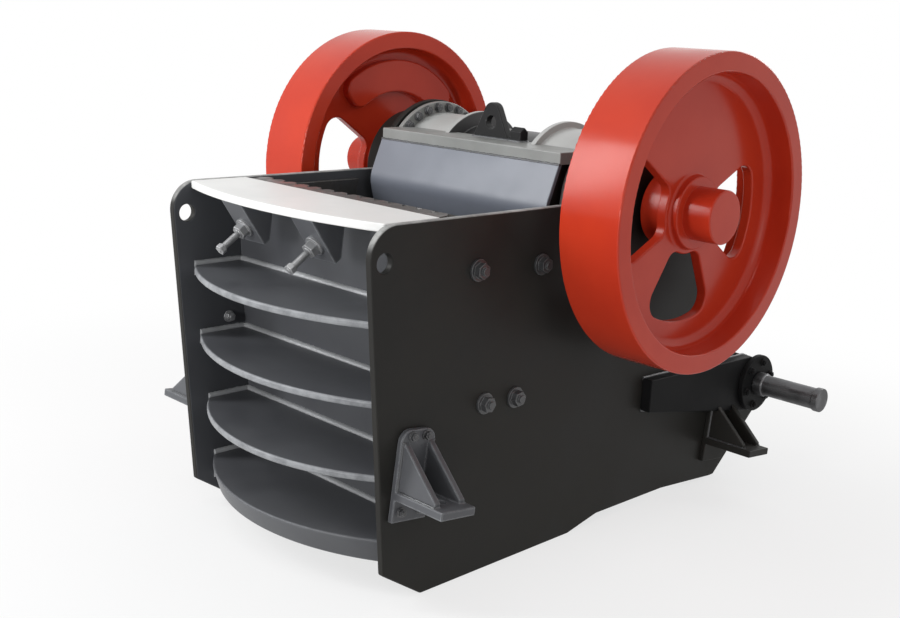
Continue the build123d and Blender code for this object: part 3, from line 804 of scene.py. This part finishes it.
@dataclass
class WeldSeam:
    """Rippled weld beads along lines, made by one Geometry Nodes tree."""

    radius: float
    step: float = 0.005
    ripple: float = 0.0022
    sides: int = 8
    lines: list[list[Vector]] = field(default_factory=list)

    RIPPLE_SCALE: ClassVar[float] = 95.0
    RIPPLE_OCTAVES: ClassVar[float] = 1.0
    RIPPLE_GAIN: ClassVar[float] = 3.0

    def tree(self) -> Tree:
        """Build the tree, or find the one that an earlier seam built.

        Returns:
            The Geometry Nodes tree.
        """
        name = "weld_beads"
        if name in bpy.data.node_groups:
            return bpy.data.node_groups[name]
        sizes = {"Radius": "Float", "Step": "Float", "Ripple": "Float", "Sides": "Int"}
        graph, given = open_tree(name, {"Lines": "Geometry", **sizes, "Finish": "Material"}, "Beads")
        path = graph.add("GeometryNodeMeshToCurve", {0: given["Lines"]})
        even = graph.add("GeometryNodeResampleCurve", {
            "Curve": path.outputs[0], "Length": given["Step"],
        }, mode="LENGTH")
        ring = graph.add("GeometryNodeCurvePrimitiveCircle", {
            "Resolution": given["Sides"], "Radius": given["Radius"],
        })
        tube = graph.add("GeometryNodeCurveToMesh", {
            "Curve": even.outputs[0], "Profile Curve": ring.outputs[0], "Fill Caps": True,
        })
        place = graph.add("GeometryNodeInputPosition").outputs[0]
        normal = graph.add("GeometryNodeInputNormal").outputs[0]
        wave = graph.math("SUBTRACT", graph.noise(place, self.RIPPLE_SCALE, self.RIPPLE_OCTAVES), 0.5)
        reach = graph.product(wave, graph.product(given["Ripple"], self.RIPPLE_GAIN))
        push = graph.add("ShaderNodeVectorMath", {0: normal, "Scale": reach}, operation="SCALE")
        rough = graph.add("GeometryNodeSetPosition", {"Geometry": tube.outputs[0], "Offset": push.outputs[0]})
        smooth = graph.add("GeometryNodeSetShadeSmooth", {"Geometry": rough.outputs[0]})
        return close_tree(graph, smooth.outputs[0], given["Finish"])

    def make(self, name: str, finish: Material) -> Object:
        """Lay a bead along every line.

        Args:
            name: the piece's name.
            finish: the bead's material.

        Returns:
            The beads as one object.
        """
        points: list[Vector] = []
        edges: list[tuple[int, int]] = []
        for line in self.lines:
            first = len(points)
            points += line
            edges += [(first + i, first + i + 1) for i in range(len(line) - 1)]
        mesh = bpy.data.meshes.new(name)
        mesh.from_pydata(points, edges, [])
        piece = new_object(name, mesh)
        settle(piece, self.tree(), {
            "Radius": self.radius, "Step": self.step, "Ripple": self.ripple, "Sides": self.sides,
            "Finish": finish,
        })
        return piece


def turned_rod(name: str, profile: list[SideView], start: Vector, way: Vector,
               sides: int = 36) -> bpy.types.Mesh:
    """Turn a profile about a line.

    Args:
        name: the mesh's name.
        profile: (distance along the line, radius) pairs, closed at both ends.
        start: point on the line at distance 0.
        way: direction of the line.
        sides: faces round it.

    Returns:
        The turned mesh.
    """
    turn = Vector((0.0, 0.0, 1.0)).rotation_difference(way.normalized()).to_matrix()
    angles = [2 * math.pi * step / sides for step in range(sides)]
    made = bmesh.new()
    rings = []
    for distance, radius in profile:
        ring = [Vector((radius * math.cos(a), radius * math.sin(a), distance)) for a in angles]
        rings.append([made.verts.new(start + turn @ point) for point in ring])
    for a, b in zip(rings, rings[1:]):
        for step in range(sides):
            after = (step + 1) % sides
            made.faces.new((a[step], a[after], b[after], b[step]))
    made.faces.new(list(reversed(rings[0])))
    made.faces.new(rings[-1])
    bmesh.ops.recalc_face_normals(made, faces=made.faces)
    mesh = bpy.data.meshes.new(name)
    made.to_mesh(mesh)
    made.free()
    return mesh


def pair(name: str) -> list[str]:
    """Give the names of a left and right pair of nodes."""
    return [f"{name}_{side.name.lower()}" for side in Side]


def across(way: int) -> Vector:
    """Give the direction along X with a sign."""
    return Vector((way, 0.0, 0.0))


def even_turns(count: int, start: float) -> list[float]:
    """Spread angles evenly round a circle, the first at a share of one step."""
    return [2 * math.pi * (step + start) / count for step in range(count)]


@dataclass
class Assembly:
    """A sub-assembly: CAD nodes to dress, and the pieces that are built on them."""

    shop: Workshop
    edges: EdgeFinish

    BODY: ClassVar[Body] = Body.FRAME

    def dress(self) -> None:
        """Paint the CAD nodes and round their edges."""

    def build(self) -> None:
        """Make the pieces and hand them over."""

    def cover(self, finish: Slot | Extra, width: EdgeWidth, *names: str) -> None:
        """Paint CAD nodes and round their edges."""
        self.shop.paint(finish, *names)
        self.edges.finish(width, *names)

    def bolt(self, bolts: BoltSet, name: str, spots: list[Spot], finish: Extra, slot: Slot) -> None:
        """Set bolts of a finish on spots and hand them over."""
        self.shop.hand_over(bolts.make(name, spots, self.shop.materials[finish]), self.BODY, slot)

    def weld(self, seam: WeldSeam, name: str, finish: Extra, slot: Slot) -> None:
        """Lay beads of a finish along a seam and hand them over."""
        self.shop.hand_over(seam.make(name, self.shop.materials[finish]), self.BODY, slot)

    def ring(self, x: float, centre: SideView, radius: float, angles: list[float], way: int) -> list[Spot]:
        """Set out bolts on a circle in the side view.

        Args:
            x: X of the face that they sit on.
            centre: the circle's middle.
            radius: the circle's radius.
            angles: each bolt's angle round it.
            way: sign of X that they face.

        Returns:
            Place and outward direction of each bolt.
        """
        spots = []
        for angle in angles:
            y, z = centre[0] + radius * math.cos(angle), centre[1] + radius * math.sin(angle)
            spots.append((self.shop.at(x, y, z), across(way)))
        return spots


@dataclass
class FrontEnd(Assembly):
    """Front wall with its bowed ribs, the top plate and the two clamp bolts under it."""

    half_width: float = 0.558
    wall_front: float = -1.052
    wall_rake: float = 0.07
    plate_front: float = -1.354
    plate_top: float = 0.015
    front_rake: float = 0.0913
    rib_tops: tuple[float, ...] = (-0.316, -0.597, -0.870, -1.118)
    rib_thick: tuple[float, ...] = (0.028, 0.028, 0.028, 0.092)
    set_backs: tuple[float, ...] = (0.072, 0.072, 0.086, 0.090)
    bead_radius: float = 0.015
    clamp_x: float = 0.205
    clamp_seat: SideView = (-1.262, -0.112)
    clamp_slope: float = 34.6
    rod_radius: float = 0.013
    rod_reach: float = 0.136
    rod_sink: float = 0.004
    rod_relief: float = 0.001
    thread_from: float = 0.050
    thread_pitch: float = 0.0050
    thread_depth: float = 0.0018
    chamfer: float = 0.005
    chamfer_from: float = 0.0015
    tip_back: float = 0.021
    nuts: BoltSet = BoltSet((0.038, 0.010), (0.030, 0.028), (0.018, 0.004))
    tips: BoltSet = BoltSet((0.016, 0.004), (0.021, 0.018), (0.009, 0.003))

    def wall(self, z: float) -> float:
        """Give Y of the wall's front face at a height."""
        return self.wall_front - self.wall_rake * z

    def dress(self) -> None:
        """Paint the CAD nodes and round their edges."""
        ribs = [f"front_rib_{number}" for number in range(1, 5)]
        # The upper ribs' front faces are painted lighter as painted light.
        self.cover(Extra.RIB_FRONT, EdgeWidth.RIB, *ribs[:3])
        # Rib grey: the body paint lightened and blued as painted light on the front.
        self.cover(Slot.RIB, EdgeWidth.RIB, ribs[3])
        self.cover(Slot.RIB, EdgeWidth.FINE, "front_wall", *pair("clamp_seat"))
        # Top plate painted near white as a painted sky reflection.
        self.cover(Slot.PALE, EdgeWidth.TOP_PLATE, "top_plate")
        self.cover(Slot.WEAR, EdgeWidth.FINE, "fixed_jaw_plate")

    def seam(self) -> WeldSeam:
        """Lay out the beads where the ribs meet the wall and the side plates.

        Returns:
            The seam with its lines.
        """
        seam = WeldSeam(self.bead_radius)
        for top, thick, back in zip(self.rib_tops, self.rib_thick, self.set_backs):
            end = self.plate_front + self.front_rake * (self.plate_top - top) + back
            for z in (top, top - thick):
                root = self.wall(z)
                line = [(-self.half_width, end), (-self.half_width, root),
                        (self.half_width, root), (self.half_width, end)]
                seam.lines.append([self.shop.at(x, y, z) for x, y in line])
        return seam

    def rod_profile(self) -> list[SideView]:
        """Draw a clamp rod's side, from its plain root over the thread to the chamfered end.

        Returns:
            (distance from the seat, radius) pairs.
        """
        profile = [(-self.rod_sink, self.rod_radius - self.rod_relief)]
        distance = self.thread_from
        while distance < self.rod_reach - 2 * self.chamfer:
            profile.append((distance, self.rod_radius - self.thread_depth))
            profile.append((distance + self.thread_pitch / 2, self.rod_radius))
            distance += self.thread_pitch
        profile.append((self.rod_reach - self.chamfer, self.rod_radius - self.chamfer_from))
        profile.append((self.rod_reach, self.rod_radius - self.chamfer))
        return profile

    def clamp_rods(self, seats: list[Vector], way: Vector) -> Object:
        """Make the threaded rods of the clamp bolts.

        Args:
            seats: where each rod leaves its seat.
            way: direction of the rods.

        Returns:
            The rods as one object.
        """
        made = bmesh.new()
        for seat in seats:
            rod = turned_rod("clamp_rod", self.rod_profile(), seat, way)
            made.from_mesh(rod)
            bpy.data.meshes.remove(rod)
        mesh = bpy.data.meshes.new("clamp_rods")
        made.to_mesh(mesh)
        made.free()
        mesh.materials.append(self.shop.materials[Extra.CLAMP])
        mesh.shade_smooth()
        return new_object("clamp_rods", mesh)

    def build(self) -> None:
        """Make the beads and the clamp bolts, each with a nut on its seat and one at its tip."""
        # The rib weld beads are pale grey as a painted highlight.
        self.weld(self.seam(), "rib_weld_beads", Extra.BEAD, Slot.RIB)
        slope = math.radians(self.clamp_slope)
        way = Vector((0.0, -math.cos(slope), -math.sin(slope)))
        seats = [self.shop.at(side.value * self.clamp_x, *self.clamp_seat) for side in Side]
        ends = [seat + way * (self.rod_reach - self.tip_back) for seat in seats]
        self.shop.hand_over(self.clamp_rods(seats, way), self.BODY, Slot.STEEL)
        self.bolt(self.nuts, "clamp_nuts", [(seat, way) for seat in seats], Extra.CLAMP, Slot.STEEL)
        self.bolt(self.tips, "clamp_tips", [(end, way) for end in ends], Extra.CLAMP, Slot.STEEL)


@dataclass
class SidePlates(Assembly):
    """The two side plates, their liners and the liner bolts."""

    outer: float = 0.588
    inner: float = 0.558
    bolt_spots: tuple[SideView, ...] = (
        (-0.849, -0.178), (-0.515, -0.193), (-0.781, -0.675), (-0.619, -0.683))
    inner_spot: SideView = (-1.090, -0.547)
    bolts: BoltSet = BoltSet()
    inner_bolts: BoltSet = BoltSet((0.024, 0.005), (0.020, 0.016), (0.010, 0.004), 0.0015)

    def dress(self) -> None:
        """Paint the CAD nodes and round their edges."""
        # Side plates with painted light: lighter inner faces and pale tops.
        self.cover(Extra.PLATE, EdgeWidth.SIDE_PLATE, *pair("side_plate"))
        self.cover(Slot.WEAR, EdgeWidth.FINE, *pair("cheek_plate"))

    def build(self) -> None:
        """Set the liner bolts outside both plates and one bolt inside each."""
        outside = [(self.shop.at(side.value * self.outer, *spot), across(side.value))
                   for side in Side for spot in self.bolt_spots]
        inside = [(self.shop.at(side.value * self.inner, *self.inner_spot), across(-side.value))
                  for side in Side]
        self.bolt(self.bolts, "liner_bolts", outside, Extra.BOLT, Slot.CHARCOAL)
        self.bolt(self.inner_bolts, "wall_bolts", inside, Extra.CLAMP, Slot.STEEL)


@dataclass
class Feet(Assembly):
    """Four bracket feet with the bolts that hold them and their weld beads."""

    plate_out: float = 0.588
    pad_thick: float = 0.022
    slope: float = -6.63
    front_mid: float = -1.144
    rear_mid: float = 0.765
    under: SideView = (-1.139, -0.940)
    base_thick: float = 0.030
    gusset_gap: float = 0.116
    gusset_thick: float = 0.025
    gusset_high: float = 0.175
    gusset_reach: float = 0.204
    bead_radius: float = 0.006
    upper_bolts: tuple[SideView, ...] = ((-0.032, 0.222), (0.032, 0.222))
    lower_bolts: tuple[SideView, ...] = ((-0.045, -0.045), (0.045, -0.045))
    bolts: BoltSet = BoltSet((0.018, 0.004), (0.015, 0.013), (0.008, 0.005), 0.0012)

    def dress(self) -> None:
        """Paint the CAD nodes and round their edges."""
        # Front feet in the rib grey, the body paint lightened as painted light; rear feet in the charcoal.
        self.cover(Slot.RIB, EdgeWidth.SOFT, *pair("foot_front"))
        self.cover(Slot.CHARCOAL, EdgeWidth.SOFT, *pair("foot_rear"))

    def place(self, mid: float, x: float, along: float, up: float) -> Vector:
        """Find a point of a foot in the frame.

        Args:
            mid: Y of the foot's middle.
            x: X of the point.
            along: distance along the foot from its middle.
            up: height over the foot's sole.

        Returns:
            The point.
        """
        tilt = math.radians(self.slope)
        level = self.under[1] + (mid - self.under[0]) * math.tan(tilt)
        y = mid + along * math.cos(tilt) - up * math.sin(tilt)
        z = level + along * math.sin(tilt) + up * math.cos(tilt)
        return self.shop.at(x, y, z)

    def build(self) -> None:
        """Make the bolts and the beads of all four feet."""
        spots: list[Spot] = []
        seam = WeldSeam(self.bead_radius)
        face = self.plate_out + self.pad_thick
        weld_line = ((face, self.base_thick + self.gusset_high), (face, self.base_thick),
                     (self.plate_out + self.gusset_reach, self.base_thick))
        gusset_edge = (self.gusset_gap + self.gusset_thick) / 2
        bolt_places = {self.front_mid: self.upper_bolts + self.lower_bolts, self.rear_mid: self.upper_bolts}
        for side in Side:
            for mid, places in bolt_places.items():
                spots += [(self.place(mid, side.value * face, *spot), across(side.value)) for spot in places]
                for edge in (-gusset_edge, gusset_edge):
                    seam.lines.append([self.place(mid, side.value * x, edge, up) for x, up in weld_line])
        self.bolt(self.bolts, "foot_bolts", spots, Extra.BOLT, Slot.CHARCOAL)
        self.weld(seam, "foot_weld_beads", Extra.DARK_BEAD, Slot.RIB)


@dataclass
class Rotor(Assembly):
    """The main shaft with its two flywheels, whose edges are rounded as modelled."""

    BODY: ClassVar[Body] = Body.ROTOR

    def dress(self) -> None:
        """Paint the CAD nodes and round the shaft's edges."""
        self.shop.paint(Slot.RED, *pair("flywheel"))
        self.cover(Slot.STEEL, EdgeWidth.FINE, "eccentric_shaft")


@dataclass
class Bearings(Assembly):
    """The two bearing housings with their cover bolts."""

    outer: float = 0.700
    bolt_circle: float = 0.205
    bolt_count: int = 8
    bolt_start: float = 0.5
    bolts: BoltSet = BoltSet((0.022, 0.004), (0.018, 0.013), (0.008, 0.003), 0.0014)

    def dress(self) -> None:
        """Paint the CAD nodes and round their edges."""
        self.cover(Slot.CHARCOAL, EdgeWidth.SOFT, *pair("bearing_housing"))

    def build(self) -> None:
        """Set the cover bolts."""
        angles = even_turns(self.bolt_count, self.bolt_start)
        spots = [spot for side in Side for spot in self.ring(
            side.value * self.outer, (0.0, 0.0), self.bolt_circle, angles, side.value)]
        self.bolt(self.bolts, "bearing_bolts", spots, Extra.BOLT, Slot.CHARCOAL)


@dataclass
class Pitman(Assembly):
    """The swinging pitman: hood, top bar, lug, barrel, flanges, arm and moving jaw."""

    half_barrel: float = 0.490
    eccentric: SideView = (-0.000672, -0.013984)
    bolt_circle: float = 0.294
    bolt_from: float = -30.0
    bolt_to: float = 132.0
    bolt_count: int = 14
    bar_top: float = 0.197
    bar_low: float = 0.150
    bar_front: float = -0.341
    hood_half: float = 0.500
    lug_y: float = -0.180
    lug_half: float = 0.098
    lug_thick: float = 0.034
    bracket_x: Span = (0.112, 0.172)
    bracket_thick: float = 0.046
    bead_radius: float = 0.006
    bolts: BoltSet = BoltSet((0.021, 0.004), (0.018, 0.014), (0.008, 0.003), 0.0014)

    BODY: ClassVar[Body] = Body.PITMAN

    def dress(self) -> None:
        """Paint the CAD nodes and round their edges."""
        ribs = [f"pitman_rib_{number}" for number in range(1, 5)]
        self.cover(Slot.BLUE_GREY, EdgeWidth.SOFT, "pitman_hood")
        self.cover(Slot.GREY, EdgeWidth.SOFT, "pitman_top_bar")
        self.cover(Slot.GREY, EdgeWidth.FINE, *pair("pitman_flange"))
        self.cover(Extra.BARREL, EdgeWidth.FINE, "pitman_barrel")
        self.cover(Slot.BLACK, EdgeWidth.SOFT, "lifting_lug", "top_bracket")
        self.cover(Slot.CHARCOAL, EdgeWidth.FINE, "pitman_arm", *ribs)
        self.cover(Slot.WEAR, EdgeWidth.FINE, "moving_jaw_plate")

    def flange_spots(self) -> list[Spot]:
        """Set out the bolts on the open arc of both flanges.

        Returns:
            Place and outward direction of each bolt.
        """
        shares = [step / (self.bolt_count - 1) for step in range(self.bolt_count)]
        angles = [math.radians(self.bolt_from + (self.bolt_to - self.bolt_from) * share) for share in shares]
        return [spot for side in Side for spot in self.ring(
            side.value * self.half_barrel, self.eccentric, self.bolt_circle, angles, -side.value)]

    def seam(self) -> WeldSeam:
        """Lay out the beads round the lug, the bracket and along the hood's top.

        Returns:
            The seam with its lines.
        """
        seam = WeldSeam(self.bead_radius)
        feet = ((-self.lug_half, self.lug_half, self.lug_thick), (*self.bracket_x, self.bracket_thick))
        for x0, x1, thick in feet:
            y0, y1 = self.lug_y - thick / 2, self.lug_y + thick / 2
            loop = [(x0, y0), (x1, y0), (x1, y1), (x0, y1), (x0, y0)]
            seam.lines.append([self.shop.at(x, y, self.bar_top) for x, y in loop])
        ends = (-self.hood_half, self.hood_half)
        seam.lines.append([self.shop.at(x, self.bar_front, self.bar_low) for x in ends])
        return seam

    def build(self) -> None:
        """Make the flange bolts and the beads."""
        self.bolt(self.bolts, "flange_bolts", self.flange_spots(), Extra.BOLT, Slot.BLACK)
        self.weld(self.seam(), "pitman_weld_beads", Extra.DARK_BEAD, Slot.GREY)


@dataclass
class RearEnd(Assembly):
    """Adjuster boxes with their bosses, the cross bar, the toggle and the rear wall."""

    box_out: float = 0.637
    boss_thick: float = 0.024
    bolt_circle: float = 0.100
    bolt_count: int = 6
    bolt_start: float = 0.25
    bar: SideView = (1.000, -0.908)
    plate_out: float = 0.588
    box_top: tuple[SideView, ...] = ((0.185, -0.755), (0.960, -0.780), (1.110, -0.835))
    box_low: tuple[SideView, ...] = ((0.185, -0.895), (1.000, -1.046), (1.110, -1.030))
    bead_radius: float = 0.007
    bolts: BoltSet = BoltSet((0.018, 0.004), (0.015, 0.012), (0.007, 0.003), 0.0012)

    def dress(self) -> None:
        """Paint the CAD nodes and round their edges."""
        # Painted shade: near black for the flywheel's shadow over the boxes and bosses.
        self.cover(Extra.SHADED_ADJUSTER, EdgeWidth.SOFT, *pair("adjuster_box"), *pair("bar_boss"))
        self.cover(Slot.CHARCOAL, EdgeWidth.SOFT, "toggle_beam", "toggle_plate", "toggle_seat", "rear_wall")
        self.cover(Slot.STEEL, EdgeWidth.SOFT, "cross_bar")

    def build(self) -> None:
        """Make the boss bolts and the beads along the boxes."""
        spots: list[Spot] = []
        seam = WeldSeam(self.bead_radius)
        face = self.box_out + self.boss_thick
        angles = even_turns(self.bolt_count, self.bolt_start)
        for side in Side:
            spots += self.ring(side.value * face, self.bar, self.bolt_circle, angles, side.value)
            for line in (self.box_top, self.box_low):
                seam.lines.append([self.shop.at(side.value * self.plate_out, y, z) for y, z in line])
        # The boss bolts share the painted shade.
        self.bolt(self.bolts, "boss_bolts", spots, Extra.SHADED_ADJUSTER, Slot.CHARCOAL)
        self.weld(seam, "box_weld_beads", Extra.DARK_BEAD, Slot.CHARCOAL)


@dataclass(frozen=True)
class Lamp:
    """One soft area lamp."""

    name: str
    place: Place
    aim: Place
    size: Size
    power: float
    colour: Colour = WHITE

    def make(self) -> None:
        """Put the lamp into the scene."""
        light = bpy.data.lights.new(self.name, "AREA")
        light.shape = "ELLIPSE"
        light.size, light.size_y = self.size
        light.energy = self.power
        light.color = self.colour
        lamp = new_object(self.name, light)
        lamp.location = self.place
        lamp.rotation_mode = "QUATERNION"
        lamp.rotation_quaternion = (Vector(self.aim) - Vector(self.place)).to_track_quat("-Z", "Y")


@dataclass
class Studio:
    """Pale floor, white surround, soft lamps and the camera."""

    azimuth: float = 44.646
    elevation: float = 13.530
    roll: float = 0.0480
    camera_place: Place = (3.37696871, -3.65694079, 1.98986209)
    lens: float = 47.82338
    sensor: float = 36.0
    far_clip: float = 200.0
    ambient: float = 0.45
    floor_half: float = 40.0
    floor_bounce: float = 0.72
    floor_seen: float = 0.90
    white_from: Span = (1.5, 0.7)
    white_to: Span = (4.0, 1.0)
    lamps: tuple[Lamp, ...] = (
        Lamp("key_lamp", (-3.4, -4.6, 3.7), (0.2, -0.2, 1.2), (1.7, 4.4), 190.0, (0.97, 0.985, 1.0)),
        Lamp("front_lamp", (0.7, -6.4, 1.9), (0.0, -0.5, 1.0), (1.5, 1.5), 110.0),
        Lamp("top_lamp", (-0.6, -2.6, 5.4), (0.1, -0.1, 1.0), (2.0, 2.0), 30.0),
        Lamp("side_lamp", (5.4, -1.8, 2.4), (0.2, 0.0, 0.9), (2.6, 2.6), 21.0, (1.0, 0.97, 0.93)),
        Lamp("rear_lamp", (0.6, 5.6, 3.6), (0.0, 0.2, 0.9), (3.0, 3.0), 110.0),
    )

    @staticmethod
    def seen_rays(path: Outputs, graph: Graph) -> Socket:
        """Tell the rays that see a surface from those that only light it.

        Args:
            path: the Light Path node's outputs.
            graph: the graph that it is in.

        Returns:
            1 for a camera, glossy or transmission ray, or else 0.
        """
        indirect = graph.math("MAXIMUM", path["Is Glossy Ray"], path["Is Transmission Ray"])
        return graph.math("MAXIMUM", path["Is Camera Ray"], indirect)

    def make_floor(self) -> None:
        """Lay the pale floor that keeps the shadow and turns white further out."""
        half = self.floor_half
        corners = [(-half, -half, 0), (half, -half, 0), (half, half, 0), (-half, half, 0)]
        mesh = bpy.data.meshes.new("floor")
        mesh.from_pydata(corners, [], [(0, 1, 2, 3)])
        material = bpy.data.materials.new("floor_white")
        graph = empty_graph(material)
        path = graph.add("ShaderNodeLightPath").outputs
        tone = graph.ramp(path["Is Camera Ray"], 0.0, 1.0, self.floor_bounce, self.floor_seen)
        plain = graph.add("ShaderNodeBsdfDiffuse", {"Color": tone})
        white = graph.add("ShaderNodeEmission", {"Color": rgba(WHITE), "Strength": 1.0})
        away = graph.add("ShaderNodeVectorMath", {0: graph.place()}, operation="LENGTH").outputs["Value"]
        (near, least), (far, most) = self.white_from, self.white_to
        share = graph.product(self.seen_rays(path, graph), graph.ramp(away, near, far, least, most))
        both = graph.add("ShaderNodeMixShader", {0: share, 1: plain.outputs[0], 2: white.outputs[0]})
        graph.add("ShaderNodeOutputMaterial", {"Surface": both.outputs[0]})
        mesh.materials.append(material)
        new_object("floor", mesh)

    def make_world(self) -> None:
        """Light the scene evenly, with white behind it."""
        world = bpy.data.worlds.new("white_surround")
        graph = empty_graph(world)
        seen = self.seen_rays(graph.add("ShaderNodeLightPath").outputs, graph)
        strength = graph.ramp(seen, 0.0, 1.0, self.ambient, 1.0)
        surround = graph.add("ShaderNodeBackground", {"Color": rgba(WHITE), "Strength": strength})
        graph.add("ShaderNodeOutputWorld", {"Surface": surround.outputs[0]})
        bpy.context.scene.world = world

    def make_camera(self) -> None:
        """Set the camera at the photograph's place and angle."""
        a, e = math.radians(self.azimuth), math.radians(self.elevation)
        back = Vector((math.sin(a) * math.cos(e), -math.cos(a) * math.cos(e), math.sin(e)))
        right = Vector((math.cos(a), math.sin(a), 0.0))
        up = back.cross(right)
        level = right * math.cos(self.roll) + up * math.sin(self.roll)
        upright = up * math.cos(self.roll) - right * math.sin(self.roll)
        data = bpy.data.cameras.new("camera")
        data.lens = self.lens
        data.sensor_width = self.sensor
        data.clip_end = self.far_clip
        camera = new_object("camera", data)
        turn = Matrix((level, upright, back)).transposed().to_4x4()
        camera.matrix_world = Matrix.Translation(self.camera_place) @ turn
        bpy.context.scene.camera = camera

    def build(self) -> None:
        """Make the floor, the surround, the lamps and the camera."""
        bpy.context.scene.view_settings.view_transform = "Standard"
        self.make_floor()
        self.make_world()
        for lamp in self.lamps:
            lamp.make()
        self.make_camera()


def main() -> None:
    """Dress and build every sub-assembly in order, then the studio."""
    logging.basicConfig(level=logging.INFO, format="%(message)s")
    shop = Workshop()
    edges = EdgeFinish()
    for kind in (SidePlates, FrontEnd, Feet, Bearings, Pitman, RearEnd, Rotor):
        assembly = kind(shop, edges)
        assembly.dress()
        assembly.build()
    Studio().build()


if __name__ == "__main__":
    main()
